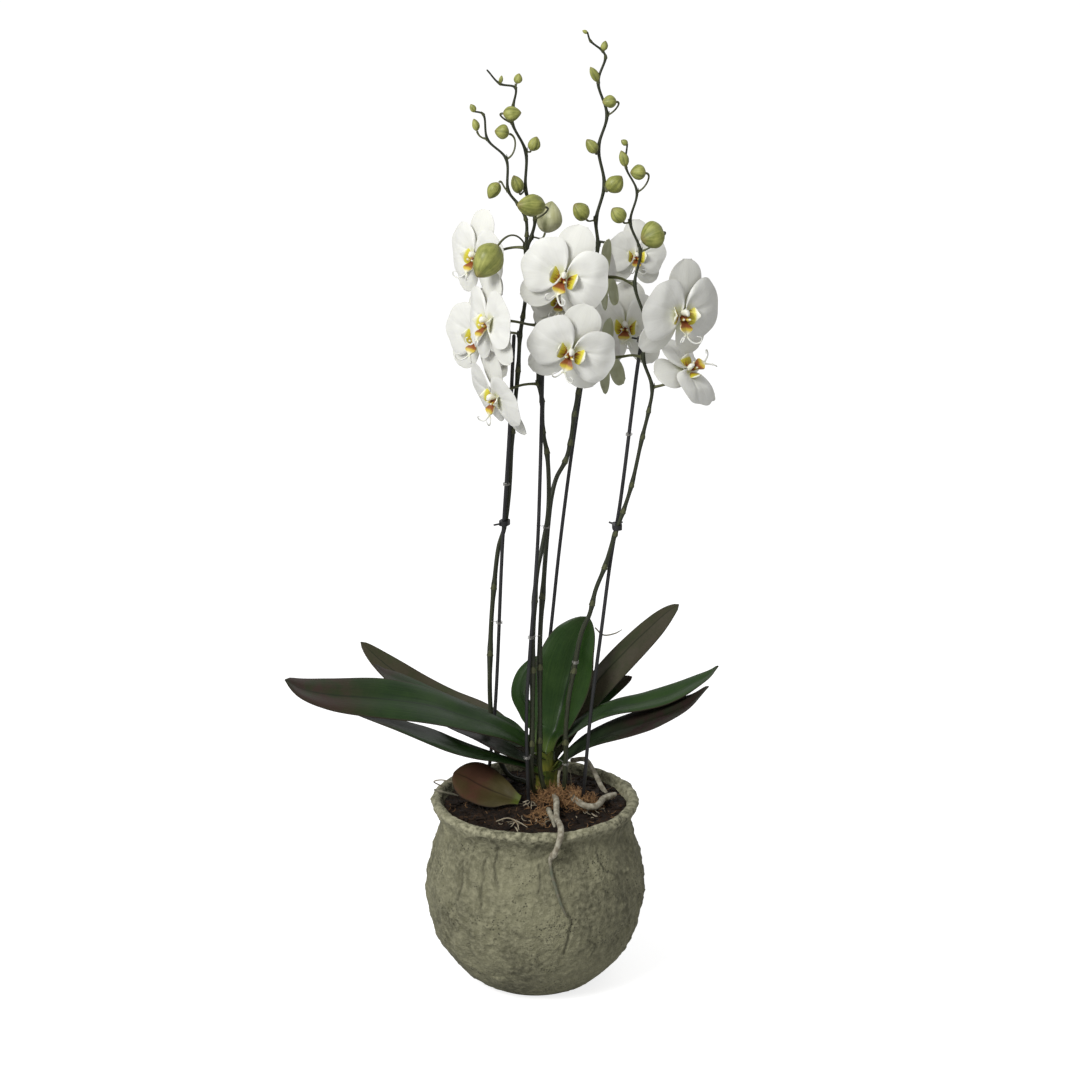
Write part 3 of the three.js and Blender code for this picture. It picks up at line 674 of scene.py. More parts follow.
@dataclass(frozen=True)
class StoneFinish(Finish):
    """Rough unglazed stoneware; grain X marks cracks and grain Y a paler band at the top of the rim."""

    dark: Colour = (0.085, 0.082, 0.045)
    mid: Colour = (0.205, 0.198, 0.118)
    pale: Colour = (0.38, 0.365, 0.245)
    crack: Colour = (0.035, 0.033, 0.02)
    lime: Colour = (0.62, 0.60, 0.52)

    def dress(self, g: Graph, shader: Node) -> None:
        """Clouded grey-olive body with dark cracks, pits, a pale rim and specks of lime.

        Args:
            g: Graph of the material.
            shader: Its main shader.
        """
        place = g.place()
        clouds = mottle(g, 14.0, 7.0, 0.36, 0.62)
        grains = mottle(g, 170.0, 8.0, 0.35, 0.68)
        pits = EffectLibrary.use(g, Effect.PITS, Place=place, Scale=330.0, Size=0.42)
        sparse = mottle(g, 31.0, 3.0, 0.50, 0.60)
        specks = EffectLibrary.use(g, Effect.PITS, Place=place, Scale=120.0, Size=0.16)
        patch = mottle(g, 17.0, 4.0, 0.62, 0.68)
        body = g.mix(clouds, self.dark, self.mid)
        body = g.mix(g.times(grains, 0.45), body, self.pale)
        holes = g.times(g.sums("SUBTRACT", 1.0, pits), sparse)
        body = g.mix(g.times(holes, 0.75), body, self.crack)
        # Paler band at the top of the rim, broken up by the grains.
        body = g.mix(g.times(g.grain_part("Y"), grains), body, self.pale)
        body = g.mix(g.grain_part("X"), body, self.crack)
        flecks = g.times(g.sums("SUBTRACT", 1.0, specks), patch)
        self.colour(g, shader, g.mix(flecks, body, self.lime))
        self.rough(g, shader, grains, 0.82, 0.96)
        coarse = mottle(g, 72.0, 6.0, 0.25, 0.75)
        dips = g.sums("SUBTRACT", coarse, g.times(holes, 0.6))
        height = g.sums("ADD", g.times(grains, 0.35), dips)
        self.relief(g, shader, height, 1.0, 0.0022)


@dataclass(frozen=True)
class BarkFinish(Finish):
    """Damp bark and peat; grain X shifts the shade from chip to chip."""

    dark: Colour = (0.006, 0.004, 0.003)
    mid: Colour = (0.017, 0.010, 0.006)
    pale: Colour = (0.065, 0.034, 0.016)

    def dress(self, g: Graph, shader: Node) -> None:
        """Dark fibres with a few paler chips.

        Args:
            g: Graph of the material.
            shader: Its main shader.
        """
        fibres = mottle(g, 260.0, 6.0, 0.35, 0.7)
        body = g.mix(fibres, self.dark, self.mid)
        body = g.mix(g.times(g.grain_part("X"), fibres), body, self.pale)
        self.colour(g, shader, body)
        shader.inputs["Specular IOR Level"].default_value = 0.2
        self.rough(g, shader, fibres, 0.6, 0.95)
        self.relief(g, shader, fibres, 0.8, 0.0012)


@dataclass(frozen=True)
class FibreFinish(Finish):
    """Dry plant fibre; grain Z shifts the shade from strand to strand."""

    dark: Colour = (0.09, 0.04, 0.014)
    pale: Colour = (0.38, 0.215, 0.09)

    def dress(self, g: Graph, shader: Node) -> None:
        """Brown strands, each of its own shade.

        Args:
            g: Graph of the material.
            shader: Its main shader.
        """
        clouds = mottle(g, 120.0, 4.0, 0.3, 0.7)
        shade = g.times(g.sums("ADD", clouds, g.grain_part("Z")), 0.5)
        self.colour(g, shader, g.mix(shade, self.dark, self.pale))
        self.relief(g, shader, clouds, 0.4, 0.0004)


@dataclass(frozen=True)
class LeafFinish(Finish):
    """Leathery leaf: grain X along, Y across, Z 1 on the top and 0 under it."""

    top: Colour = (0.007, 0.023, 0.004)
    light: Colour = (0.017, 0.042, 0.006)
    rib: Colour = (0.003, 0.010, 0.002)
    under: Colour = (0.050, 0.042, 0.024)
    edge: Colour = (0.030, 0.020, 0.014)
    blush: Colour = (0.034, 0.020, 0.014)
    blush_from: float = 0.75
    base: Colour = (0.075, 0.115, 0.022)
    vein: float = 22.0

    def dress(self, g: Graph, shader: Node) -> None:
        """Green top with fine long veins, bronzed towards the tip and edge, and a dull under side.

        Args:
            g: Graph of the material.
            shader: Its main shader.
        """
        along, across, side = (g.grain_part(part) for part in "XYZ")
        veins = EffectLibrary.use(g, Effect.STREAKS, Grain=g.grain(), Along=3.0, Across=self.vein)
        clouds = mottle(g, 42.0, 5.0, 0.35, 0.68)
        top = g.mix(g.times(g.sums("ADD", veins, clouds), 0.45), self.top, self.light)
        reach = g.span(along, self.blush_from, self.blush_from + 0.22)
        top = g.mix(g.times(reach, g.sums("ADD", clouds, 0.35, clamp=True)), top, self.blush)
        foot = g.span(along, 0.14, 0.02)
        top = g.mix(foot, top, self.base)
        under = g.mix(g.times(clouds, 0.5), self.under, self.light)
        body = g.mix(side, under, top)
        rim = g.span(g.sums("ABSOLUTE", across), 0.93, 1.0, 0.0, 0.75)
        midrib = g.span(g.sums("ABSOLUTE", across), 0.07, 0.0, 0.0, 0.7)
        body = g.mix(rim, body, self.edge)
        self.colour(g, shader, g.mix(midrib, body, self.rib))
        shader.inputs["Specular IOR Level"].default_value = 0.24
        below = g.times(g.sums("SUBTRACT", 1.0, side), 0.7)
        dull = g.sums("ADD", g.times(clouds, 0.3), below)
        self.rough(g, shader, dull, self.roughness - 0.02, self.roughness + 0.34)
        self.relief(g, shader, g.sums("ADD", veins, g.times(clouds, 0.6)), 0.14, 0.0005)


@dataclass(frozen=True)
class StalkFinish(Finish):
    """Flower stalk; grain Z is 0 on the main stalk and 1 on the paler flower stems."""

    dark: Colour = (0.010, 0.013, 0.006)
    light: Colour = (0.034, 0.040, 0.015)
    stem: Colour = (0.16, 0.165, 0.065)

    def dress(self, g: Graph, shader: Node) -> None:
        """Dark olive with pale freckles and long streaks.

        Args:
            g: Graph of the material.
            shader: Its main shader.
        """
        place = g.place()
        streaks = EffectLibrary.use(g, Effect.STREAKS, Grain=g.grain(), Along=0.6, Across=14.0)
        freckles = EffectLibrary.use(g, Effect.PITS, Place=place, Scale=700.0, Size=0.3)
        body = g.mix(streaks, self.dark, self.light)
        body = g.mix(g.times(g.sums("SUBTRACT", 1.0, freckles), 0.35), body, self.stem)
        pale = g.mix(streaks, self.light, self.stem)
        self.colour(g, shader, g.mix(g.grain_part("Z"), body, pale))
        self.rough(g, shader, streaks, 0.36, 0.55)
        self.relief(g, shader, streaks, 0.3, 0.0004)


@dataclass(frozen=True)
class PetalFinish(Finish):
    """White petal: grain X out from the throat, Y round it, Z 1 in front and 0 behind."""

    front: Colour = (0.77, 0.77, 0.72)
    vein_tint: Colour = (0.70, 0.70, 0.645)
    throat: Colour = (0.60, 0.62, 0.30)
    behind: Colour = (0.70, 0.70, 0.66)
    behind_tint: Colour = (0.60, 0.57, 0.54)

    def dress(self, g: Graph, shader: Node) -> None:
        """Soft white with faint fanned veins and a greenish foot.

        Args:
            g: Graph of the material.
            shader: Its main shader.
        """
        along, side = g.grain_part("X"), g.grain_part("Z")
        veins = EffectLibrary.use(g, Effect.STREAKS, Grain=g.grain(), Along=1.2, Across=17.0)
        clouds = mottle(g, 60.0, 3.0, 0.35, 0.7)
        front = g.mix(g.times(veins, 0.45), self.front, self.vein_tint)
        back = g.mix(clouds, self.behind, self.behind_tint)
        body = g.mix(side, back, front)
        self.colour(g, shader, g.mix(g.span(along, 0.30, 0.02, 0.0, 0.75), body, self.throat))
        shader.inputs["Subsurface Weight"].default_value = 0.12
        shader.inputs["Subsurface Radius"].default_value = (0.0030, 0.0030, 0.0022)
        shader.inputs["Subsurface Scale"].default_value = 1.0
        self.rough(g, shader, clouds, 0.5, 0.66)
        self.relief(g, shader, g.sums("ADD", g.times(veins, 0.6), clouds), 0.16, 0.0006)


@dataclass(frozen=True)
class LipFinish(Finish):
    """Lip of the flower: grain X runs out from the throat, Z is 1 inside it."""

    stops: tuple[tuple[float, Colour], ...] = (
        (0.0, (0.17, 0.030, 0.010)),
        (0.15, (0.34, 0.13, 0.012)),
        (0.26, (0.60, 0.50, 0.018)),
        (0.58, (0.66, 0.60, 0.05)),
        (0.80, (0.80, 0.80, 0.68)),
    )
    outside: Colour = (0.78, 0.78, 0.64)
    foot: Colour = (0.62, 0.56, 0.05)
    stripe: Colour = (0.21, 0.045, 0.012)

    def dress(self, g: Graph, shader: Node) -> None:
        """Red-brown throat, striped yellow, then white.

        Args:
            g: Graph of the material.
            shader: Its main shader.
        """
        along, side = g.grain_part("X"), g.grain_part("Z")
        veins = EffectLibrary.use(g, Effect.STREAKS, Grain=g.grain(), Along=1.0, Across=9.0)
        inside = g.ramp(along, self.stops)
        reach = g.span(along, 0.62, 0.2)
        stripes = g.times(g.span(veins, 0.55, 0.7), reach)
        inside = g.mix(stripes, inside, self.stripe)
        outside = g.mix(g.span(along, 0.5, 0.1), self.outside, self.foot)
        self.colour(g, shader, g.mix(side, outside, inside))
        shader.inputs["Subsurface Weight"].default_value = 0.08
        shader.inputs["Subsurface Radius"].default_value = (0.002, 0.002, 0.001)
        self.rough(g, shader, veins, 0.35, 0.5)
        self.relief(g, shader, veins, 0.2, 0.0004)


@dataclass(frozen=True)
class BudFinish(Finish):
    """Closed bud: grain X from base to tip, Z marks its seams, which take painted shade."""

    body_tone: Colour = (0.15, 0.17, 0.028)
    pale: Colour = (0.40, 0.41, 0.11)
    blush: Colour = (0.20, 0.13, 0.05)
    # Painted shade: darker colour laid in the grooves between the sepals.
    shaded_seam: Colour = (0.09, 0.11, 0.025)

    def dress(self, g: Graph, shader: Node) -> None:
        """Olive green, clouded, browner at the base, with painted shade darkening the seams.

        Args:
            g: Graph of the material.
            shader: Its main shader.
        """
        along, shaded_seam = g.grain_part("X"), g.grain_part("Z")
        clouds = mottle(g, 110.0, 4.0, 0.35, 0.66)
        veins = EffectLibrary.use(g, Effect.STREAKS, Grain=g.grain(), Along=1.5, Across=26.0)
        body = g.mix(g.times(g.sums("ADD", clouds, veins), 0.5), self.body_tone, self.pale)
        ends = g.sums("ADD", g.span(along, 0.22, 0.0), g.span(along, 0.84, 1.0), clamp=True)
        body = g.mix(g.times(ends, 0.55), body, self.blush)
        # Painted shade darkens the grooves between the sepals.
        self.colour(g, shader, g.mix(g.times(shaded_seam, 0.7), body, self.shaded_seam))
        self.rough(g, shader, clouds, 0.42, 0.6)
        self.relief(g, shader, veins, 0.2, 0.0004)


@dataclass(frozen=True)
class RootFinish(Finish):
    """Aerial root; grain Z is 0 where it is silvery and 1 where it is old and green."""

    silver: Colour = (0.42, 0.395, 0.31)
    shade: Colour = (0.17, 0.145, 0.10)
    green: Colour = (0.10, 0.115, 0.075)

    def dress(self, g: Graph, shader: Node) -> None:
        """Papery silver skin with dull patches.

        Args:
            g: Graph of the material.
            shader: Its main shader.
        """
        clouds = mottle(g, 160.0, 5.0, 0.35, 0.68)
        body = g.mix(clouds, self.shade, self.silver)
        old = g.mix(clouds, self.green, self.shade)
        self.colour(g, shader, g.mix(g.grain_part("Z"), body, old))
        self.rough(g, shader, clouds, 0.6, 0.85)
        self.relief(g, shader, clouds, 0.4, 0.0006)


@dataclass(frozen=True)
class PlainFinish(Finish):
    """Moulded plastic, wire or floor: one colour with a faint cloud and fine grain."""

    base: Colour = (0.01, 0.01, 0.011)
    light: Colour = (0.02, 0.02, 0.021)
    metal: float = 0.0
    grain_scale: float = 900.0
    depth: float = 0.0001
    glow: float = 0.0

    def dress(self, g: Graph, shader: Node) -> None:
        """Clouded colour and a fine moulded grain.

        Args:
            g: Graph of the material.
            shader: Its main shader.
        """
        clouds = mottle(g, 35.0, 3.0, 0.3, 0.7)
        fine = mottle(g, self.grain_scale, 2.0, 0.2, 0.8)
        self.colour(g, shader, g.mix(clouds, self.base, self.light))
        shader.inputs["Metallic"].default_value = self.metal
        shader.inputs["Emission Color"].default_value = (1.0, 1.0, 1.0, 1.0)
        if self.glow:
            seen = g.node("LightPath").outputs["Is Camera Ray"]
            g.tree.links.new(g.times(seen, self.glow), shader.inputs["Emission Strength"])
        self.rough(g, shader, clouds, self.roughness - 0.06, self.roughness + 0.06)
        self.relief(g, shader, fine, 0.3, self.depth)


STONE = StoneFinish("stoneware", 0.9)
BARK = BarkFinish("bark", 0.8)
MOSS = FibreFinish("moss fibre", 0.85)
STRAW = FibreFinish("dry sheath", 0.8, dark=(0.13, 0.10, 0.06), pale=(0.42, 0.37, 0.27))
LEAF = LeafFinish("leaf", 0.36)
LEAF_BRONZED = LeafFinish("leaf bronzed", 0.36, blush_from=0.62, light=(0.018, 0.046, 0.006))
LEAF_BRIGHT = LeafFinish(
    "leaf bright", 0.36, top=(0.011, 0.034, 0.005), light=(0.025, 0.058, 0.009), blush_from=0.9)
LEAF_OLD = LeafFinish(
    "leaf old", 0.42, top=(0.048, 0.040, 0.014), light=(0.072, 0.058, 0.022),
    blush=(0.074, 0.034, 0.020), blush_from=0.35, base=(0.075, 0.095, 0.015),
    rib=(0.016, 0.009, 0.006), under=(0.05, 0.04, 0.025))
LEAF_DARK = LeafFinish(
    "leaf dark", 0.38, top=(0.012, 0.022, 0.010), light=(0.022, 0.034, 0.014), blush=(0.022, 0.013, 0.011),
    blush_from=0.35)
CROWN_GREEN = LeafFinish(
    "crown sheath", 0.42, top=(0.12, 0.13, 0.018), light=(0.25, 0.245, 0.045),
    rib=(0.06, 0.07, 0.012), under=(0.10, 0.11, 0.03), edge=(0.10, 0.06, 0.025),
    blush=(0.045, 0.085, 0.018), blush_from=0.6, base=(0.15, 0.11, 0.035))
STALK = StalkFinish("stalk", 0.45)
PETAL = PetalFinish("petal", 0.58)
SEPAL = PetalFinish(
    "sepal", 0.58, front=(0.77, 0.77, 0.71), behind=(0.62, 0.60, 0.57), behind_tint=(0.50, 0.46, 0.44))
# Olive sepals of the two flowers behind spike 4: partly their greenish backs, partly painted shade, darker
# than the white sepals on both faces.
SEPAL_OLIVE_SHADED = PetalFinish(
    "sepal olive", 0.58, front=(0.70, 0.71, 0.58), behind=(0.40, 0.42, 0.26), behind_tint=(0.33, 0.34, 0.20))
LIP = LipFinish("lip", 0.42)
CALLUS = LipFinish("callus", 0.38, stops=(
    (0.0, (0.16, 0.028, 0.009)), (0.42, (0.28, 0.08, 0.012)), (0.58, (0.60, 0.46, 0.05)),
    (0.82, (0.78, 0.78, 0.64))))
COLUMN = PetalFinish("column", 0.45, throat=(0.42, 0.20, 0.10), front=(0.80, 0.79, 0.70))
TENDRIL = PetalFinish("tendril", 0.45, throat=(0.74, 0.72, 0.52))
BUD = BudFinish("bud", 0.5)
BUD_PALE = BudFinish(
    "bud pale", 0.5, body_tone=(0.42, 0.42, 0.20), pale=(0.62, 0.62, 0.40), blush=(0.34, 0.34, 0.14))
ROOT_SKIN = RootFinish("root", 0.7)
PLASTIC = PlainFinish("black plastic", 0.38)
WIRE = PlainFinish("pale wire", 0.4, base=(0.26, 0.255, 0.23), light=(0.36, 0.35, 0.32), metal=0.5)
FLOOR = PlainFinish(
    "floor", 0.9, base=(0.50, 0.50, 0.50), light=(0.52, 0.52, 0.52), grain_scale=60.0, glow=0.78)


# ---------------------------------------------------------------- layout of the plant
Triple = tuple[float, float, float]
Table = tuple[Triple, ...]


@dataclass(frozen=True)
class Bloom:
    """Place of a flower: throat, and yaw, pitch and roll in degrees of its face."""

    name: str
    spike: str
    joint: int
    at: Triple
    yaw: float
    pitch: float
    roll: float
    size: float
    lead: Triple | None = None

    def turn(self) -> Quaternion:
        """Turn from the flower's own axes, which face +Z with the top along +Y.

        Returns:
            The turn, in the frame of the plant.
        """
        yaw = Quaternion((0, 0, 1), math.radians(self.yaw))
        pitch = Quaternion((1, 0, 0), math.radians(90 - self.pitch))
        roll = Quaternion((0, 0, 1), math.radians(-self.roll))
        return yaw @ pitch @ roll


@dataclass(frozen=True)
class BudPlace:
    """Long axis and width of a bud, and the joint that bears it."""

    name: str
    spike: str
    base: Triple
    tip: Triple
    width: float
    joint: int | None = None
    lead: Triple | None = None


@dataclass(frozen=True)
class LeafPlace:
    """Midrib, flat direction, width and folding of a leaf."""

    name: str
    spine: Table
    side: Triple
    width: float
    fold: float
    twist: float
    finish: LeafFinish
    foot: float = 15.0


STAKE_ROUTES: dict[str, Table] = {
    "stake_1": (
        (-51, 42, 10), (-43, 41, 89), (-34, 27, 274), (-26, 8, 400), (-21, -4, 500),
    ),
    "stake_2": (
        (-7, -14, 9), (-9, -15, 104), (0, -11, 245), (3, -8, 295), (5, -5, 355), (7, 6, 434),
        (9, 12, 530),
    ),
    "stake_3": (
        (0, 86, 16), (17, 77, 172), (25, 64, 257), (35, 48, 347), (47, 44, 437), (56, 43, 498),
    ),
    "stake_4": (
        (50, -12, 8), (58, -14, 108), (69, -14, 203), (77, -13, 270), (86, -15, 330),
        (97, -13, 425), (102, -15, 470), (107, -24, 508),
    ),
}

SPIKE_ROUTES: dict[str, Table] = {
    "spike_1": (
        (-8, 44, 6), (-28, 49, 12), (-42, 50, 40), (-48, 50, 90), (-47, 48, 175), (-43, 44, 229),
        (-38, 38, 271), (-32, 30, 293), (-27, 24, 330), (-23, 14, 399), (-17, 6, 464),
        (-15, 4, 499), (-12, 2, 519), (-9, 0, 543), (-9, -4, 588), (-8, -5, 601), (-9, -6, 617),
        (-17, -8, 632), (-26, -10, 645), (-28, -12, 676), (-46, -14, 695), (-50, -16, 719),
        (-59, -18, 722),
    ),
    "spike_2": (
        (3, 8, 5), (-2, -4, 18), (-4, -9, 41), (-3, -9, 102), (-2, -6, 194), (2, -2, 254),
        (8, 4, 283), (13, 8, 312), (14, 10, 344), (12, 12, 378), (8, 13, 399), (7, 14, 431),
        (4, 14, 448), (3, 14, 508), (2, 13, 532), (-6, 12, 543), (-8, 12, 584), (-4, 11, 596),
        (0, 10, 615), (-9, 10, 643), (-9, 8, 681), (-22, 6, 709), (-21, 4, 726), (-19, 2, 743),
        (-34, 0, 747), (-46, -4, 760),
    ),
    "spike_3": (
        (14, 8, 6), (9, 0, 18), (5, -1, 39), (5, 0, 100), (5, 3, 181), (9, 10, 244), (13, 16, 296),
        (17, 21, 329), (22, 25, 348), (31, 27, 365), (36, 29, 383), (40, 30, 413), (44, 31, 436),
        (52, 32, 479), (56, 32, 510), (57, 32, 545), (63, 32, 586), (61, 32, 611), (69, 31, 646),
        (63, 29, 683), (71, 27, 715), (62, 25, 747), (69, 23, 771), (66, 21, 777), (54, 16, 787),
        (51, 14, 795),
    ),
    "spike_4": (
        (25, 8, 5), (30, -2, 16), (32, -5, 50), (32, -6, 84), (35, -8, 120), (41, -9, 156),
        (48, -11, 193), (56, -13, 213), (62, -16, 240), (71, -19, 265), (81, -23, 301),
        (89, -25, 325), (97, -28, 353), (107, -31, 403), (113, -32, 430), (116, -33, 454),
        (107, -32, 483), (110, -31, 515), (98, -28, 555), (103, -27, 588), (93, -26, 616),
        (99, -28, 646), (88, -30, 670), (89, -32, 692),
    ),
}

BLOOMS = (
    Bloom("flower_1_1", "spike_1", 11, (-57, 38, 492), -38, -5, 8, 0.96, lead=(2, 24, 0)),
    Bloom("flower_1_2", "spike_1", 14, (-57, 8, 578), -48, 0, 5, 0.92),
    Bloom("flower_2_1", "spike_2", 12, (-38, -13, 441), -60, -22, 10, 0.95),
    Bloom("flower_2_2", "spike_2", 13, (-44, -42, 521), -58, 0, 0, 0.95),
    Bloom("flower_2_3", "spike_2", 14, (25, -2, 536), -8, 0, 6, 0.7),
    Bloom("flower_3_1", "spike_3", 13, (36, -48, 494), -8, -22, 22, 1),
    Bloom("flower_3_2", "spike_3", 14, (94, 62, 499), -15, 4, 0, 0.92, lead=(-2, 66, 50)),
    Bloom("flower_3_3", "spike_3", 15, (29, -42, 566), -10, -6, 20, 1),
    Bloom("flower_3_4", "spike_3", 16, (102, 52, 573), 8, -4, 4, 0.7, lead=(-6, 34, 6)),
    Bloom("flower_4_1", "spike_4", 15, (150, -36, 471), 62, 41, -79, 0.92),
    Bloom("flower_4_2", "spike_4", 16, (72, 10, 476), -116, -4, 4, 0.78),
    Bloom("flower_4_3", "spike_4", 17, (142, -52, 531), 32, -10, 6, 1.04),
    Bloom("flower_4_4", "spike_4", 18, (70, 4, 558), -112, -4, 0, 0.74),
)

BUDS = (
    BudPlace("bud_1_1", "spike_1", (-35, -13, 653), (-45, -17, 638), 13, 18),
    BudPlace("bud_1_2", "spike_1", (-25, -12, 700), (-39, -15, 703), 15, 19),
    BudPlace("bud_1_3", "spike_1", (-56, -16, 703), (-59, -19, 715), 8, 20),
    BudPlace("bud_2_1", "spike_2", (-36, -40, 595), (-56, -62, 568), 30, 16, lead=(-4, -16, 16)),
    BudPlace("bud_2_2", "spike_2", (9, -18, 630), (-17, -38, 634), 22, 18),
    BudPlace("bud_2_3", "spike_2", (10, 36, 598), (17, 32, 630), 27, 17),
    BudPlace("bud_2_4", "spike_2", (-15, 4, 641), (-21, -2, 659), 13, 19),
    BudPlace("bud_2_5", "spike_2", (-4, 7, 682), (2, 4, 696), 12, 20),
    BudPlace("bud_2_6", "spike_2", (-31, -6, 719), (-13, -10, 720), 14, 21),
    BudPlace("bud_2_7", "spike_2", (-18, 0, 747), (-15, -2, 757), 9, 23),
    BudPlace("bud_3_1", "spike_3", (51, 24, 613), (39, 16, 629), 17, 17),
    BudPlace("bud_3_2", "spike_3", (72, 25, 641), (86, 20, 656), 17, 18),
    BudPlace("bud_3_3", "spike_3", (60, 24, 678), (51, 20, 692), 12, 19),
    BudPlace("bud_3_4", "spike_3", (80, 23, 728), (66, 18, 728), 13, 20),
    BudPlace("bud_4_1", "spike_4", (124, -34, 607), (103, -48, 602), 26, 19),
    BudPlace("bud_4_2", "spike_4", (86, -30, 617), (75, -36, 631), 15, 20),
    BudPlace("bud_4_3", "spike_4", (107, -30, 664), (92, -35, 665), 16, 21),
)

TIP_BUDS = (
    BudPlace("tip_1", "spike_1", (-58, -18, 721), (-62, -19, 729), 6),
    BudPlace("tip_2", "spike_2", (-34, 0, 747), (-32, 0, 755), 4),
    BudPlace("tip_3", "spike_3", (62, 25, 747), (54, 20, 762), 8),
    BudPlace("tip_4", "spike_3", (66, 21, 777), (69, 19, 787), 7),
    BudPlace("tip_5", "spike_3", (51, 14, 794), (46, 13, 797), 4),
    BudPlace("tip_6", "spike_4", (88, -30, 670), (83, -32, 686), 9),
    BudPlace("tip_7", "spike_4", (89, -32, 691), (83, -34, 696), 6),
)

LEAVES = (
    LeafPlace(
        "leaf_left_long",
        (
            (-3, 17, 52), (-10, 14, 60), (-37, 8, 79), (-68, 2, 93), (-110, -6, 109),
            (-156, -14, 120), (-212, -26, 129), (-241, -34, 139), (-256, -40, 151),
        ),
        side=(0, 1, 0.3), width=60, fold=4, twist=-8, finish=LEAF_BRONZED,
    ),
    LeafPlace(
        "leaf_left_low",
        (
            (-4, 14, 30), (-12, 10, 36), (-37, 4, 47), (-68, -7, 60), (-109, -19, 79),
            (-150, -28, 98), (-184, -36, 112),
        ),
        side=(0, 1, -0.1), width=54, fold=4, twist=0, finish=LEAF,
    ),
    LeafPlace(
        "leaf_left_inner",
        (
            (-4, 29, 34), (-12, 26, 40), (-38, 21, 55), (-62, 22, 67), (-84, 25, 74),
            (-100, 28, 80),
        ),
        side=(0, 1, -0.05), width=46, fold=5, twist=0, finish=LEAF_DARK,
    ),
    LeafPlace(
        "leaf_back_left",
        (
            (2, 44, 36), (-12, 66, 42), (-38, 94, 49), (-60, 108, 58), (-94, 118, 68),
            (-121, 123, 81), (-149, 125, 100), (-171, 128, 117), (-192, 130, 137),
        ),
        side=(0, -0.45, -1), width=35, fold=10, twist=-8, finish=LEAF,
    ),
    LeafPlace(
        "leaf_left_cupped",
        (
            (-5, 37, 50), (-17, 50, 51), (-38, 74, 58), (-71, 82, 68), (-114, 87, 86),
            (-146, 90, 103), (-164, 90, 113), (-175, 91, 124),
        ),
        side=(0, 0.9, 0.35), width=40, fold=10, twist=10, finish=LEAF,
    ),
    LeafPlace(
        "leaf_upright",
        (
            (16, 36, 58), (22, 42, 66), (27, 48, 84), (35, 56, 113), (44, 62, 150), (52, 64, 172),
            (57, 65, 186),
        ),
        side=(0.87, -0.5, 0), width=82, fold=28, twist=0, foot=34, finish=LEAF_BRIGHT,
    ),
    LeafPlace(
        "leaf_back",
        (
            (12, 46, 52), (6, 62, 64), (-7, 82, 76), (-15, 94, 90), (-12, 101, 106),
            (-4, 105, 118), (5, 107, 128),
        ),
        side=(0.6, -0.8, 0), width=30, fold=18, twist=0, finish=LEAF_BRIGHT,
    ),
    LeafPlace(
        "leaf_right_high",
        (
            (22, 40, 50), (35, 45, 71), (56, 56, 101), (73, 62, 121), (96, 68, 145),
            (121, 70, 170), (141, 71, 189), (153, 71, 198),
        ),
        side=(-0.45, 0.8, 0.39), width=40, fold=12, twist=0, finish=LEAF,
    ),
    LeafPlace(
        "leaf_right_small",
        (
            (17, 48, 36), (30, 58, 52), (48, 68, 76), (70, 78, 92), (87, 84, 102), (105, 88, 111),
        ),
        side=(0.3, -0.6, -0.75), width=26, fold=14, twist=0, finish=LEAF,
    ),
    LeafPlace(
        "leaf_right_green",
        (
            (27, 28, 56), (38, 28, 67), (58, 28, 84), (84, 27, 95), (116, 24, 103), (147, 18, 115),
            (172, 12, 131), (185, 10, 141), (191, 8, 150),
        ),
        side=(0, -1, -0.2), width=42, fold=8, twist=-6, finish=LEAF_BRIGHT,
    ),
    LeafPlace(
        "leaf_right_low",
        (
            (28, 22, 34), (36, 20, 44), (53, 18, 59), (73, 14, 70), (107, 6, 84), (133, -1, 97),
            (162, -8, 114), (180, -11, 134),
        ),
        side=(0, -1, -0.28), width=46, fold=10, twist=-8, finish=LEAF_DARK,
    ),
    LeafPlace(
        "leaf_old",
        (
            (-17, -17, 8), (-32, -14, 13), (-53, -9, 20), (-72, -2, 28), (-86, 3, 33),
        ),
        side=(0.2, 0.85, 0.5), width=55, fold=6, twist=0, finish=LEAF_OLD,
    ),
)

# ---------------------------------------------------------------- pot and mix
@dataclass(frozen=True)
class Crack:
    """Crack or fold in the pot wall, through places of (degrees round, height)."""

    places: tuple[tuple[float, float], ...]
    width: float
    depth: float
    lip: float

    def reach(self, angle: float, height: float, radius: float) -> tuple[float, float]:
        """How a place on the wall lies to the crack.

        Args:
            angle: Degrees round from the front, towards +X.
            height: Height in millimetres.
            radius: Wall radius in millimetres.

        Returns:
            Signed distance across the crack, and distance past its ends, in millimetres.
        """
        best = (1e9, 1e9)
        scale = math.radians(1) * radius
        for (a0, h0), (a1, h1) in zip(self.places, self.places[1:]):
            x, y = (angle - a0) * scale, height - h0
            dx, dy = (a1 - a0) * scale, h1 - h0
            size = dx * dx + dy * dy
            share = min(max((x * dx + y * dy) / size, 0.0), 1.0)
            offset = math.hypot(x - share * dx, y - share * dy)
            if offset < abs(best[0]):
                sign = 1.0 if x * dy - y * dx > 0 else -1.0
                best = (sign * offset, offset)
        return best


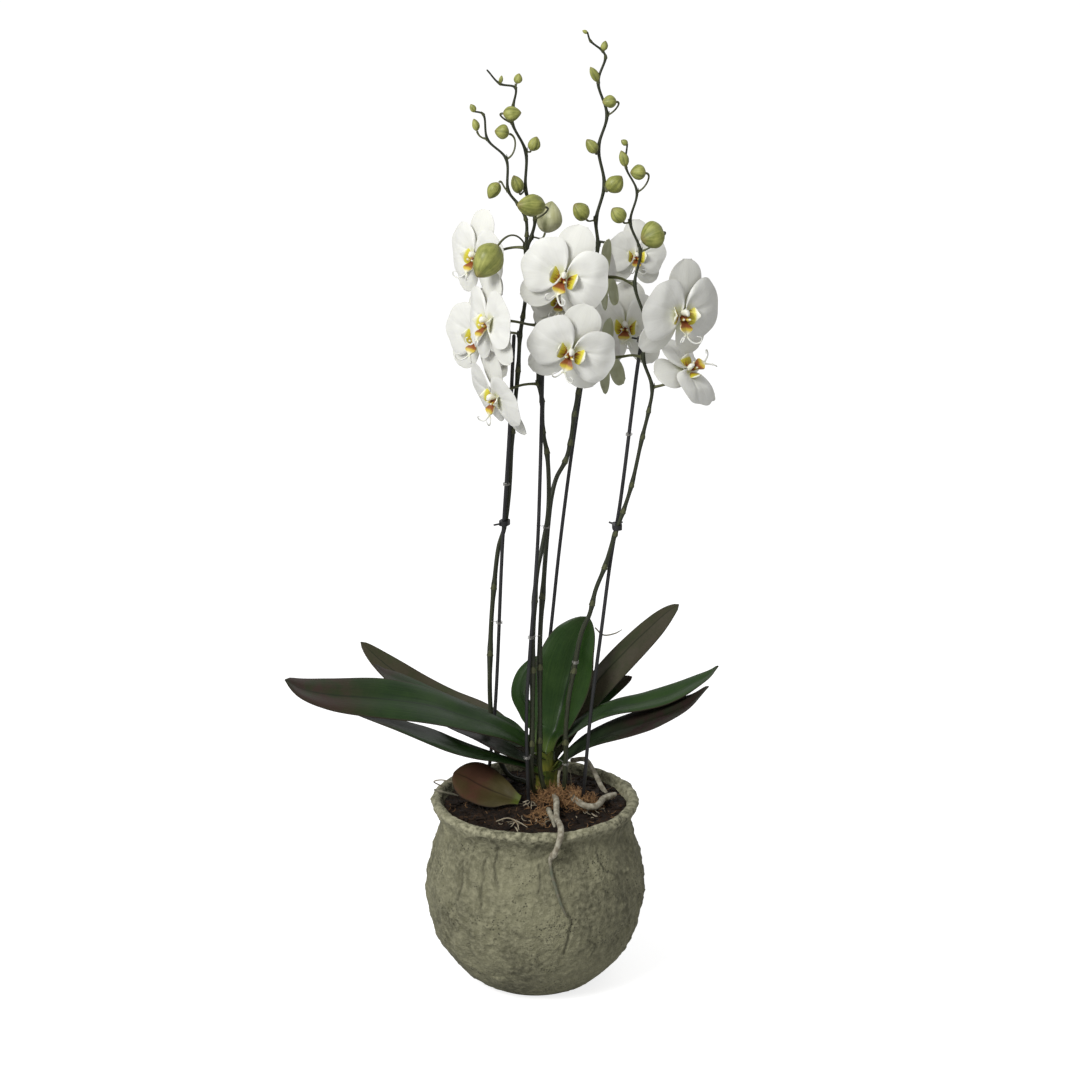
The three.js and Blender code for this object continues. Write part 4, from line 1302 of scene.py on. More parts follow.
@dataclass
class Pot:
    """Round stoneware pot with a flared, uneven rim."""

    height: float = 203.0
    foot_radius: float = 59.0
    foot_lean: float = 0.53
    belly_radius: float = 116.0
    belly_height: float = 100.0
    neck_radius: float = 101.0
    neck_height: float = 179.0
    rim_radius: float = 109.0
    rim_drop: float = 5.0
    wall: float = 11.0
    floor: float = 14.0
    sides: int = 400
    rows: tuple[int, int, int] = (84, 58, 20)
    cracks: tuple[Crack, ...] = (
        Crack(((-24, 191), (-22, 184), (-22.5, 172), (-24, 164), (-22, 152), (-20, 143)), 0.9, 1.6, 1.5),
        Crack(((-29, 170), (-31, 160), (-29, 150), (-30, 136), (-28.5, 118)), 0.8, 1.3, 1.0),
        Crack(((17, 117), (19, 108), (17.5, 97), (16.5, 84), (15, 72)), 0.9, 1.5, 0.8),
        Crack(((38, 173), (39, 162), (43, 150), (50, 143)), 0.7, 1.1, 0.8),
        Crack(((2, 168), (3, 150), (1.5, 140)), 0.7, 0.8, 0.7),
        Crack(((-46, 160), (-43, 140), (-44, 120)), 0.8, 1.0, 0.8),
        Crack(((-12, 100), (-6, 92), (0, 94), (7, 86)), 0.8, 1.0, 0.9),
        Crack(((28, 84), (34, 74), (32, 62)), 0.8, 1.0, 0.8),
        Crack(((78, 165), (75, 146), (80, 128), (77, 110)), 0.9, 1.3, 1.1),
        Crack(((120, 172), (124, 150), (119, 131)), 0.9, 1.3, 1.1),
        Crack(((170, 180), (166, 160), (171, 135), (168, 118)), 0.9, 1.5, 1.2),
        Crack(((215, 150), (219, 130), (214, 104)), 0.9, 1.3, 1.0),
        Crack(((-100, 176), (-104, 158), (-99, 139)), 0.9, 1.3, 1.1),
    )

    def profile(self, inset: float, rows: tuple[int, int, int]) -> list[tuple[float, float]]:
        """Wall line from foot to rim, moved inwards.

        Args:
            inset: Distance in from the outer face.
            rows: Steps up to the belly, the neck and the rim.

        Returns:
            Places as (radius, height) in millimetres.
        """
        bottom = 0.0 if inset == 0 else self.floor + inset - self.wall
        foot = Vector((self.foot_radius - inset / 2, bottom))
        belly = Vector((self.belly_radius - inset, self.belly_height))
        neck = Vector((self.neck_radius - inset, self.neck_height))
        rim = Vector((self.rim_radius - inset, self.height - self.rim_drop))
        swell = 0.41 * (belly.y - foot.y)
        rise = 0.46 * (neck.y - belly.y)
        flare = 0.45 * (rim.y - neck.y)
        leave = Vector((math.cos(self.foot_lean), math.sin(self.foot_lean))) * swell
        up = Vector((0.0, 1.0))
        curves = (
            (foot, foot + leave, belly - up * swell, belly),
            (belly, belly + up * rise, neck - up * (rise / 2), neck),
            (neck, neck + up * flare, rim - up * (flare / 2), rim),
        )
        line = [(foot.x, foot.y)]
        for (a, b, c, d), steps in zip(curves, rows):
            for i in range(1, steps + 1):
                t = i / steps
                s = 1 - t
                p = a * s**3 + b * (3 * s * s * t) + c * (3 * s * t * t) + d * t**3
                line.append((p.x, p.y))
        return line

    def radius_at(self, height: float, inset: float = 0.0) -> float:
        """Wall radius at a height, in millimetres.

        Args:
            height: Height in millimetres.
            inset: Distance in from the outer face.

        Returns:
            Radius in millimetres.
        """
        line = self.profile(inset, (24, 16, 8))
        for (r0, z0), (r1, z1) in zip(line, line[1:]):
            if z1 >= height:
                return lerp(r0, r1, max(0.0, (height - z0) / (z1 - z0)))
        return line[-1][0]

    def weather(self, radius: float, angle: float, height: float, outer: float) -> tuple[float, Mark]:
        """Unevenness of the wall at a place.

        Args:
            radius: True radius.
            angle: Angle round from +X, in radians.
            height: Height in millimetres.
            outer: 1 on the outer wall, fading to 0 inside.

        Returns:
            Shift outwards in millimetres, and the grain: crack, paler band at the top of the rim, 0.
        """
        c, s = math.cos(angle), math.sin(angle)
        p = Vector((c * radius, s * radius, height)) * MM
        shift = 1.2 * noise.fractal(p * 11, 1.0, 2.0, 3) + 1.25 * noise.fractal(p * 44, 0.9, 2.1, 3)
        shift += 0.42 * noise.fractal(p * 150, 0.8, 2.0, 3)
        tall = Vector((c * 8.5, s * 8.5, height * 0.016))
        fold = smoothstep(0.86, 1.0, 1 - abs(noise.noise(tall)))
        fold *= smoothstep(-0.05, 0.35, noise.noise(p * 26))
        flat = Vector((c * 13, s * 13, height * 0.085))
        wrinkle = smoothstep(0.85, 1.0, 1 - abs(noise.noise(flat)))
        wrinkle *= smoothstep(0.0, 0.4, noise.noise(p * 17 + tall))
        near = p * 16
        sway = Vector((noise.noise(near), noise.noise(near + SWAY_BACK), noise.noise(near + SWAY_UP)))
        warped = p * 30 + 0.5 * sway
        flake = smoothstep(0.90, 1.0, 1 - abs(noise.noise(warped)))
        flake *= smoothstep(-0.1, 0.3, noise.noise(p * 21))
        shift += outer * (1.5 * fold + 1.0 * wrinkle + 0.9 * flake)
        front = (math.degrees(angle) + 90) % 360
        crack = 0.0
        if outer > 0.5:
            for line in self.cracks:
                first = line.places[0][0]
                turned = (front - first + 180) % 360 - 180 + first
                if abs(turned - first) > 16:
                    continue
                across, away = line.reach(turned, height, radius)
                if away > 9:
                    continue
                here = bump(across, 0, 1.35 * line.width)
                crack = max(crack, 0.55 * here)
                raised = bump(across, 2.6 * line.width, 2.4 * line.width)
                shift += 1.25 * line.lip * raised - line.depth * here
        # Grain Y: a paler band over the top 16 mm of the rim.
        pale_rim_band = smoothstep(self.height - 16, self.height - 4, height)
        return shift, (min(crack, 1.0), pale_rim_band, 0.0)

    def build(self) -> None:
        """Makes the pot as one closed turned wall with weathered faces."""
        outer = self.profile(0.0, self.rows)
        inner = self.profile(self.wall, (10, 10, 12))[::-1]
        middle = (outer[-1][0] + inner[0][0]) / 2
        half = (outer[-1][0] - inner[0][0]) / 2
        lip_steps = 14
        lip = [
            (middle + half * math.cos(a), outer[-1][1] + self.rim_drop * math.sin(a))
            for a in (math.pi * i / lip_steps for i in range(1, lip_steps))
        ]
        line = [(r, z, 1.0) for r, z in outer]
        line += [(r, z, 0.6) for r, z in lip]
        line += [(r, z, 0.0) for r, z in inner]
        line.insert(0, (self.foot_radius * 0.5, 0.0, 0.0))
        rings: Rings = []
        marks: list[list[Mark]] = []
        for radius, height, side in line:
            ring = []
            row = []
            for k in range(self.sides):
                angle = 2 * math.pi * k / self.sides
                shift, mark = self.weather(radius, angle, height, side)
                calm = smoothstep(0.0, 8.0, height)
                c, s = math.cos(angle), math.sin(angle)
                lift = 1.3 * noise.noise(Vector((c * 2.6, s * 2.6, 3.0))) * smoothstep(170, 200, height)
                lift += 0.5 * noise.noise(Vector((c * 14, s * 14, 7.0))) * smoothstep(190, 200, height)
                r = radius + shift * calm
                ring.append(mm(r * c, r * s, height + lift - 0.4 * smoothstep(190, 200, height)))
                row.append(mark)
            rings.append(ring)
            marks.append(row)
        mesh = Mesher()
        mesh.rings(rings, marks)
        settle(mesh.object("pot_wall", (STONE,), 80), "stoneware", "pot")


@dataclass
class Ground:
    """Bark mix in the pot: an uneven top, loose chips, a tuft of moss and scraps of sheath."""

    pot: Pot
    below_rim: float = 9.0
    dome: float = 5.0
    gap: float = 0.35
    sides: int = 144
    chips: int = 430
    strands: int = 1150
    stray_strands: int = 170
    front_strands: int = 90
    scraps: int = 46
    tuft: Triple = (32.0, -8.0, 0.0)
    tuft_size: tuple[float, float, float] = (38.0, 21.0, 14.0)
    tuft_turn: float = -24.0

    @property
    def level(self) -> float:
        """Height of the mix at the wall, in millimetres."""
        return self.pot.height - self.below_rim

    def top(self, x: float, y: float) -> float:
        """Height of the mix at a place, in millimetres.

        Args:
            x: Place to the right, in millimetres.
            y: Place to the back.

        Returns:
            Height in millimetres.
        """
        edge = self.pot.radius_at(self.level, self.pot.wall)
        far = min(math.hypot(x, y) / edge, 1.0)
        p = Vector((x, y, 0)) * MM
        lumps = 1.6 * noise.fractal(p * 60, 0.9, 2.0, 3) + 1.0 * noise.fractal(p * 190, 0.8, 2.0, 3)
        return self.level + self.dome * math.cos(0.5 * math.pi * far) + lumps - 0.5

    def surface(self) -> None:
        """Makes the body of the mix."""
        edge = self.pot.radius_at(self.level, self.pot.wall + self.gap) - self.gap
        mesh = Mesher()
        rings: Rings = []
        for depth, share in ((-34.0, 0.02), (-34.0, 1.0)):
            rings.append([
                mm(edge * share * math.cos(a), edge * share * math.sin(a), self.level + depth)
                for a in (2 * math.pi * k / self.sides for k in range(self.sides))])
        steps = 46
        for i in range(steps, 0, -1):
            r = edge * i / steps
            ring = []
            for k in range(self.sides):
                a = 2 * math.pi * k / self.sides
                x, y = r * math.cos(a), r * math.sin(a)
                ring.append(mm(x, y, self.top(x, y)))
            rings.append(ring)
        marks = [[(0.35 + 0.5 * noise.noise(p * 55), 0.0, 0.0) for p in ring] for ring in rings]
        mesh.rings(rings, marks)
        settle(mesh.object("mix_surface", (BARK,), 80), "potting_mix", "potting_mix")

    def loose_bark(self) -> None:
        """Makes the loose chips as irregular slabs."""
        draw = random.Random(11)
        edge = self.pot.radius_at(self.level, self.pot.wall) - 6
        mesh = Mesher()
        for _ in range(self.chips):
            r, a = edge * math.sqrt(draw.random()), draw.uniform(0, 2 * math.pi)
            x, y = r * math.cos(a), r * math.sin(a)
            length = draw.uniform(3.0, 10.5) * (1.0 if draw.random() < 0.8 else 1.5)
            wide, thick = length * draw.uniform(0.3, 0.7), length * draw.uniform(0.12, 0.3)
            turn = Quaternion((draw.gauss(0, 1), draw.gauss(0, 1), draw.gauss(0, 2)), draw.uniform(0, 3))
            tilt = Quaternion((0, 0, 1), draw.uniform(0, 6.3)) @ Quaternion((1, 0, 0), draw.gauss(0, 0.35))
            spin = tilt if draw.random() < 0.7 else turn.normalized()
            centre = mm(x, y, self.top(x, y) + 0.3 * thick)
            shade = draw.random() ** 2
            rings = []
            for i, scale in enumerate((0.62, 1.0, 0.95, 0.55)):
                along = (i / 3 - 0.5) * length
                ring = []
                for k in range(6):
                    b = 2 * math.pi * k / 6
                    jag = draw.uniform(0.78, 1.2)
                    local = Vector((
                        along + draw.uniform(-0.3, 0.3), 0.5 * wide * scale * jag * math.cos(b),
                        0.5 * thick * scale * jag * math.sin(b) * 1.3)) * MM
                    ring.append(centre + spin @ local)
                rings.append(ring)
            mesh.rings(rings, [[(shade, 0.0, 0.0)] * 6] * 4)
        settle(mesh.object("bark_chips", (BARK,), 30), "potting_mix")

    def strand(
            self, mesh: Mesher, draw: random.Random, x: float, y: float, z: float, length: float,
            radius: float
    ) -> None:
        """Adds one curled strand.

        Args:
            mesh: Piece that takes it.
            draw: Source of its curl.
            x: Its middle, to the right, in millimetres.
            y: Its middle, to the back.
            z: Its middle, upwards.
            length: Its length in millimetres.
            radius: Its radius in millimetres.
        """
        heading = Vector((draw.gauss(0, 1), draw.gauss(0, 1), draw.gauss(0, 0.35))).normalized()
        curl = Vector((draw.gauss(0, 1), draw.gauss(0, 1), draw.gauss(0, 1))) * 0.28
        steps = 6
        start = mm(x, y, z)
        line = [start - heading * (0.5 * length * MM)]
        for _ in range(steps):
            line.append(line[-1] + heading * (length * MM / steps))
            heading = (heading + curl.cross(heading)).normalized()
        floor_at = self.top(start.x / MM, start.y / MM) * MM
        for p in line:
            p.z = max(p.z, floor_at - 0.002)
        shade = draw.random()
        mesh.tube(
            line, lambda t, _: radius * MM * (1 - 0.6 * abs(2 * t - 1)), 4, shade, 0, (False, False))

    def moss(self) -> None:
        """Makes the moss tuft and the scraps of dry sheath from curled strands."""
        draw = random.Random(5)
        turn = math.radians(self.tuft_turn)
        mesh = Mesher()
        for _ in range(self.strands):
            reach = draw.random() ** 0.6
            a, b = draw.uniform(0, 2 * math.pi), draw.random()
            x = self.tuft_size[0] * reach * math.cos(a)
            y = self.tuft_size[1] * reach * math.sin(a)
            px = self.tuft[0] + x * math.cos(turn) - y * math.sin(turn)
            py = self.tuft[1] + x * math.sin(turn) + y * math.cos(turn)
            z = self.top(px, py) + b * self.tuft_size[2] * math.sqrt(max(0.0, 1 - reach * reach)) + 0.6
            self.strand(mesh, draw, px, py, z, draw.uniform(7, 17), draw.uniform(0.22, 0.55))
        for _ in range(self.stray_strands):
            r, a = 92 * math.sqrt(draw.random()), draw.uniform(0, 2 * math.pi)
            x, y = r * math.cos(a), r * math.sin(a)
            z = self.top(x, y) + 0.8
            self.strand(mesh, draw, x, y, z, draw.uniform(6, 15), draw.uniform(0.16, 0.35))
        for _ in range(self.front_strands):
            x, y = draw.gauss(4, 5), draw.uniform(-72, -24)
            z = self.top(x, y) + draw.uniform(1, 5)
            self.strand(mesh, draw, x, y, z, draw.uniform(7, 16), 0.4)
        settle(mesh.object("moss_strands", (MOSS,)), "moss", "moss_tuft")
        mesh = Mesher()
        for i in range(self.scraps):
            spot = ((-22, -66), (8, -62), (60, -36), (-2, -20))[i % 4]
            x, y = spot[0] + draw.gauss(0, 8), spot[1] + draw.gauss(0, 6)
            z = self.top(x, y) + 2
            self.strand(mesh, draw, x, y, z, draw.uniform(6, 16), draw.uniform(0.3, 0.9))
        settle(mesh.object("dry_scraps", (STRAW,)), "moss")

    def build(self) -> None:
        """Makes every piece of the ground."""
        self.surface()
        self.loose_bark()
        self.moss()


# ---------------------------------------------------------------- crown and leaves
@dataclass(frozen=True)
class Sheath:
    """One leaf sheath of the crown: the way it faces, its spread, height and size."""

    facing: float
    spread: float
    low: float
    high: float
    radius: float
    flare: float


@dataclass
class Crown:
    """Overlapping yellow-green leaf sheaths that wrap the short stem."""

    ground: Ground
    x: float = 12.0
    y: float = 27.0
    sheaths: tuple[Sheath, ...] = (
        Sheath(-90, 118, -6, 30, 11.5, 2.5),
        Sheath(-168, 104, -4, 34, 11.0, 4.0),
        Sheath(-12, 104, -4, 38, 10.6, 4.0),
        Sheath(90, 120, -4, 40, 11.0, 4.0),
        Sheath(-120, 86, 8, 50, 9.4, 2.0),
        Sheath(-45, 86, 10, 52, 8.6, 2.5),
        Sheath(180, 90, 14, 58, 7.4, 4.0),
        Sheath(20, 92, 16, 62, 6.6, 4.0),
    )
    rows: int = 22
    columns: int = 17

    def build(self) -> None:
        """Makes the sheaths in one piece."""
        mesh = Mesher()
        level = self.ground.level
        for k, sheath in enumerate(self.sheaths):
            grid: Rings = []
            for i in range(self.rows + 1):
                u = i / self.rows
                row = []
                for j in range(self.columns + 1):
                    v = 2 * j / self.columns - 1
                    narrow = 1 - 0.55 * smoothstep(0.55, 1.0, u)
                    a = math.radians(sheath.facing + sheath.spread * v * narrow)
                    keel = 1 + 0.14 * bump(v, 0, 0.16)
                    r = (sheath.radius * (1 - 0.28 * u) * keel + sheath.flare * u**3
                         + 0.5 * noise.noise(Vector((3 * v, 2 * u, k * 3.0))))
                    z = lerp(sheath.low, sheath.high, u * (1 - 0.10 * abs(v)))
                    row.append(mm(self.x + r * math.cos(a), self.y + r * math.sin(a), level + z))
                grid.append(row)
            mesh.sheet(grid, lambda u, v: 1.5 * MM * (1.1 - 0.7 * abs(v)))
        settle(mesh.object("crown_sheaths", (CROWN_GREEN,), 60), "crown", "crown")


@dataclass
class Foliage:
    """The strap leaves."""

    ground: Ground
    thickness: float = 2.4
    edge: float = 0.9
    crown: tuple[float, float] = (12.0, 27.0)
    clasp_drop: float = 12.0
    clasp_fold: float = 20.0
    crease: float = 6.0
    rows: int = 56
    half_columns: int = 9

    @staticmethod
    def outline(t: float, stalk: float) -> float:
        """Share of the full width along a leaf.

        Args:
            t: Share along the leaf.
            stalk: Share of the width at its base.

        Returns:
            Share of the full width.
        """
        widest = 0.58
        if t < widest:
            return lerp(stalk, 1.0, math.sin(0.5 * math.pi * t / widest) ** 1.4)
        u = (t - widest) / (1 - widest)
        return max(0.02, (1 - u**2.2) ** 0.62)

    def leaf(self, place: LeafPlace, seed: int) -> None:
        """Makes one leaf.

        Args:
            place: Its layout.
            seed: Number that sets its ripples.
        """
        spine = place.spine
        if place.finish is not LEAF_OLD:
            low = max(spine[0][2] - self.clasp_drop, self.clasp_drop)
            spine = ((*self.crown, low), *spine)
        route = Route.raised(spine, self.ground.level)
        side = Vector(place.side).normalized()
        shares = route.even(self.rows)
        columns = 2 * self.half_columns
        grid: Rings = []
        for i, share in enumerate(shares):
            t = i / self.rows
            along = route.tangent(share)
            centre = route.point(share)
            out = (side - along * side.dot(along)).normalized()
            out = Quaternion(along, math.radians(place.twist) * t) @ out
            face = out.cross(along).normalized()
            half = 0.5 * place.width * self.outline(t, place.foot / place.width) * MM
            clasp = self.clasp_fold * 15.0 / place.foot
            fold = math.radians(place.fold + self.crease + clasp * (1 - smoothstep(0.0, 0.3, t)))
            row = []
            for j in range(columns + 1):
                v = 2 * j / columns - 1
                rise = math.sqrt(v * v + 0.006) - 0.0775
                ripple = 0.05 * math.sin(9 * t + seed + 1.6 * v) * v * v + 0.035 * noise.noise(
                    Vector((7 * t, 1.5 * v, seed * 5.0)))
                curl = -0.09 * v**4
                row.append(centre + out * (half * v * math.cos(fold))
                           + face * (half * (rise * math.sin(fold) + ripple + curl)))
            grid.append(row)

        def thick(t: float, v: float) -> float:
            """Thickness of the blade in metres, from the shares along and across it."""
            body = lerp(self.thickness, self.edge, abs(v) ** 1.5) + 1.0 * bump(v, 0, 0.09) * (1 - 0.6 * t)
            return body * MM * (1 - 0.4 * smoothstep(0.8, 1.0, t))

        mesh = Mesher()
        mesh.sheet(grid, thick)
        piece = mesh.object(f"{place.name}_blade", (place.finish,), 70)
        settle(piece, "leaf_old" if place.finish is LEAF_OLD else "leaf", place.name)

    def build(self) -> None:
        """Makes every leaf."""
        for seed, place in enumerate(LEAVES):
            self.leaf(place, seed)


# ---------------------------------------------------------------- stakes, stalks and ties
@dataclass
class Supports:
    """Black stakes, their clips and the thin wires that tie the stalks."""

    ground: Ground
    radius: float = 1.9
    depth: float = 30.0
    wire: float = 0.28
    ties: tuple[tuple[str, float], ...] = (
        ("stake_1", 189.0), ("stake_1", 343.0), ("stake_2", 188.0), ("stake_2", 57.0),
        ("spike_4", 160.0), ("spike_4", 46.0), ("spike_2", 300.0), ("stake_4", 402.0),
    )

    def rooted(self, name: str) -> Route:
        """Route of a stake with a straight run down into the mix.

        Args:
            name: The stake.

        Returns:
            Its whole route.
        """
        route = Route.raised(STAKE_ROUTES[name], self.ground.level)
        a, b = route.points[0], route.points[1]
        down = (a - b).normalized()
        reach = (a.z - (self.ground.level - self.depth) * MM) / -down.z
        return Route((a + down * reach, *route.points))

    def tie(self, name: str, height: float, seed: int) -> Mesher:
        """Wire wound round a stake or stalk, with a twisted tail.

        Args:
            name: The stake or spike that it goes round.
            height: Height above the mix in millimetres.
            seed: Number that sets the way its tail points.

        Returns:
            The mesh of the wire.
        """
        table = STAKE_ROUTES.get(name) or SPIKE_ROUTES[name]
        route = Route.raised(table, self.ground.level)
        centre = route.point(route.share_at_height((height + self.ground.level) * MM))
        turns, steps, loop = 2.6, 40, 3.3 * MM
        line = []
        for i in range(steps + 1):
            a = 2 * math.pi * turns * i / steps + seed
            line.append(centre + Vector((loop * math.cos(a), loop * math.sin(a), (i / steps - 0.5) * 3 * MM)))
        out = Vector((math.cos(a), math.sin(a), 0.25))
        for i in range(1, 9):
            twist = 0.5 * MM * math.sin(2.2 * i)
            line.append(line[steps] + out * (i * 0.9 * MM) + Vector((0, 0, twist)))
        mesh = Mesher()
        mesh.tube(line, lambda t, _: self.wire * MM, 6, 0.0, 0, (False, False))
        return mesh

    def build(self) -> None:
        """Makes the stakes and ties, and gives the clips their finish."""
        for name in STAKE_ROUTES:
            route = self.rooted(name)
            steps = 60
            spine = [route.point(share) for share in route.even(steps)]
            mesh = Mesher()
            mesh.tube(spine, lambda t, _: self.radius * MM, 20)
            settle(mesh.object(f"{name}_rod", (PLASTIC,)), "stake", name)
        for seed, (name, height) in enumerate(self.ties):
            mesh = self.tie(name, height, seed)
            settle(mesh.object(f"tie_{seed + 1}", (WIRE,)), "stake")
        for name in ("clip_low_left", "clip_low_right", "clip_high_right"):
            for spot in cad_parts[name].material_slots:
                spot.material = PLASTIC.material()
            log.info("%s: its own shape, new finish", name)


@dataclass
class BudShape:
    """Closed bud with seams between its three sepals."""

    rings: int = 22
    sides: int = 30
    seam_depth: float = 0.11
    seam_width: float = 0.13

    def add(self, mesh: Mesher, base: Vector, tip: Vector, width: float, tone: int, roll: float) -> None:
        """Adds a bud to a piece.

        Args:
            mesh: Piece that takes it.
            base: Its foot in metres.
            tip: Its point in metres.
            width: Its width in metres.
            tone: Index of its finish.
            roll: Turn about its own axis, in radians.
        """
        axis = tip - base
        turn = Vector((0, 0, 1)).rotation_difference(axis.normalized())
        rings: Rings = []
        marks: list[list[Mark]] = []
        for i in range(self.rings + 1):
            t = lerp(0.004, 0.996, i / self.rings)
            swell = 0.5 * width * math.sin(math.pi * t**0.85) ** 0.72
            ring = []
            row = []
            for k in range(self.sides):
                a = 2 * math.pi * k / self.sides
                off = min(abs((a + roll - c + math.pi) % (2 * math.pi) - math.pi) for c in (0.4, 2.5, 4.6))
                shaded_seam = bump(off, 0, self.seam_width) * smoothstep(0.0, 0.12, t)
                r = swell * (1 - self.seam_depth * shaded_seam + 0.05 * math.cos(2 * a + roll))
                r *= 1 + 0.05 * noise.noise(Vector((math.cos(a), math.sin(a), 2 * t + roll)) * 1.7)
                bend = 0.05 * width * math.sin(math.pi * t)
                ring.append(base + turn @ Vector((r * math.cos(a) + bend, r * math.sin(a), axis.length * t)))
                # Third grain value marks the seams, where the bud finish paints shade.
                row.append((t, k / self.sides, shaded_seam))
            rings.append(ring)
            marks.append(row)
        mesh.rings(rings, marks, tone)


@dataclass
class Stalks:
    """The four flower spikes, with their joints, bracts, flower stems and smallest buds."""

    ground: Ground
    foot_radius: float = 2.6
    tip_radius: float = 0.9
    stem_radius: float = 1.35
    bud_stem_radius: float = 0.9
    neck: float = 4.0
    gap: float = 0.35
    first_joint: int = 9
    bract_length: float = 6.5

    def thickness(self, t: float, joints: Sequence[float]) -> float:
        """Radius of a spike at a share, swollen at its joints, in metres."""
        swell = sum(bump(t, joint, 0.0075) for joint in joints)
        return MM * lerp(self.foot_radius, self.tip_radius, t**1.6) * (1 + 0.34 * min(swell, 1.0))

    def stem(
            self, mesh: Mesher, joint: Vector, end: Vector, axis: Vector, radius: float, lead: Triple | None
    ) -> None:
        """Adds the short stem from a joint to a bloom.

        Args:
            mesh: Piece that takes it.
            joint: Where it leaves the spike.
            end: Where it meets the bloom.
            axis: The bloom's own axis there.
            radius: Its radius in millimetres.
            lead: The way it sets off, in millimetres, where that isn't straight at the bloom.
        """
        reach = 0.4 * (end - joint).length
        flat = Vector((end.x - joint.x, end.y - joint.y, 0)).normalized() * reach
        flat.z = 0.15 * reach
        a, b, c, d = joint, joint + (Vector(lead) * MM if lead else flat), end - axis * reach, end
        steps = 18
        line = []
        for i in range(steps + 1):
            t = i / steps
            s = 1 - t
            line.append(a * s**3 + b * (3 * s * s * t) + c * (3 * s * t * t) + d * t**3)

        def swell(t: float, _: float) -> float:
            """Radius of the stem in metres, thicker at both ends."""
            return radius * MM * (1.0 + 0.35 * bump(t, 0, 0.12) + 0.28 * smoothstep(0.55, 1.0, t))

        mesh.tube(line, swell, 12, smoothstep(2.0, 8.0, 10 * radius), 0, (False, False))

    def bract(self, mesh: Mesher, place: Vector, up: Vector, out: Vector, radius: float) -> None:
        """Adds the small pointed scale under a joint.

        Args:
            mesh: Piece that takes it.
            place: Centre of the joint in metres.
            up: Direction of the spike.
            out: The side that the scale is on.
            radius: Radius of the spike there, in metres.
        """
        over = up.cross(out).normalized()
        out = over.cross(up).normalized()
        grid: Rings = []
        rows, columns = 8, 6
        size = self.bract_length * MM * (0.55 + 0.45 * radius / (self.foot_radius * MM))
        for i in range(rows + 1):
            u = i / rows
            row = []
            for j in range(columns + 1):
                v = 2 * j / columns - 1
                a = 1.25 * v * (1 - u) ** 0.7
                r = radius * 1.12 + 0.35 * MM * u
                aside = (out * math.cos(a) + over * math.sin(a)) * r
                row.append(place + aside + up * (size * (u - 0.25)))
            grid.append(row)
        mesh.sheet(grid, lambda u, v: 0.4 * MM, (0.55, 0.55))

    def spike(self, name: str) -> None:
        """Makes one spike in one piece.

        Args:
            name: The spike.
        """
        level = self.ground.level
        route = Route.raised(SPIKE_ROUTES[name], level)
        last = len(route.points) - 1
        joints = [i / last for i in range(self.first_joint, last)]
        joints += [route.share_at_height((level + h) * MM) for h in (70.0, 150.0, 225.0)]
        per_stretch = 9
        spine = [route.point(i / (last * per_stretch)) for i in range(last * per_stretch + 1)]
        mesh = Mesher()
        mesh.tube(spine, lambda t, _: self.thickness(t, joints), 16)
        draw = random.Random(name)
        ahead = Vector((0, -1, 0))
        borne: dict[int, Vector] = {}
        for bloom in (b for b in BLOOMS if b.spike == name):
            look = bloom.turn() @ Vector((0, 0, 1))
            end = above(bloom.at, level) - look * ((self.neck * bloom.size + self.gap) * MM)
            borne[bloom.joint] = end
            self.stem(mesh, route.points[bloom.joint], end, look, self.stem_radius, bloom.lead)
        for bud in (b for b in BUDS if b.spike == name):
            base, tip = above(bud.base, level), above(bud.tip, level)
            axis = (tip - base).normalized()
            borne[bud.joint] = base
            end = base - axis * (self.gap * MM)
            self.stem(mesh, route.points[bud.joint], end, axis, self.bud_stem_radius, bud.lead)
        for share in joints:
            place = route.point(share)
            index = round(share * last)
            bears = index in borne and abs(share * last - index) < TINY
            side = borne[index] - place if bears else ahead
            if side.length < TINY:
                side = ahead
            out = side.normalized() + Vector((draw.gauss(0, 0.1), 0, 0))
            self.bract(mesh, place, route.tangent(share), out, self.thickness(share, joints))
        shape = BudShape(14, 18)
        for k, bud in enumerate(b for b in TIP_BUDS if b.spike == name):
            base, tip = above(bud.base, level), above(bud.tip, level)
            shape.add(mesh, base, tip, bud.width * MM, 1, k)
        settle(mesh.object(f"{name}_stalk", (STALK, BUD), 60), "spike", name)

    def build(self) -> None:
        """Makes the spikes and the free buds."""
        for name in SPIKE_ROUTES:
            self.spike(name)
        shape = BudShape()
        level = self.ground.level
        for seed, bud in enumerate(BUDS):
            opening = bud.name == "bud_2_3"
            mesh = Mesher()
            base, tip = above(bud.base, level), above(bud.tip, level)
            shape.add(mesh, base, tip, bud.width * MM, 0, 1.7 * seed)
            settle(mesh.object(f"{bud.name}_shell", (BUD_PALE if opening else BUD,), 60), "bud", bud.name)


# ---------------------------------------------------------------- flowers
@dataclass(frozen=True)
class TepalShape:
    """Sepal: long oval from the throat, in millimetres and degrees."""

    angle: float
    length: float = 50.0
    width: float = 32.0
    start: float = -1.6
    back: float = 6.0
    cup: float = 2.0


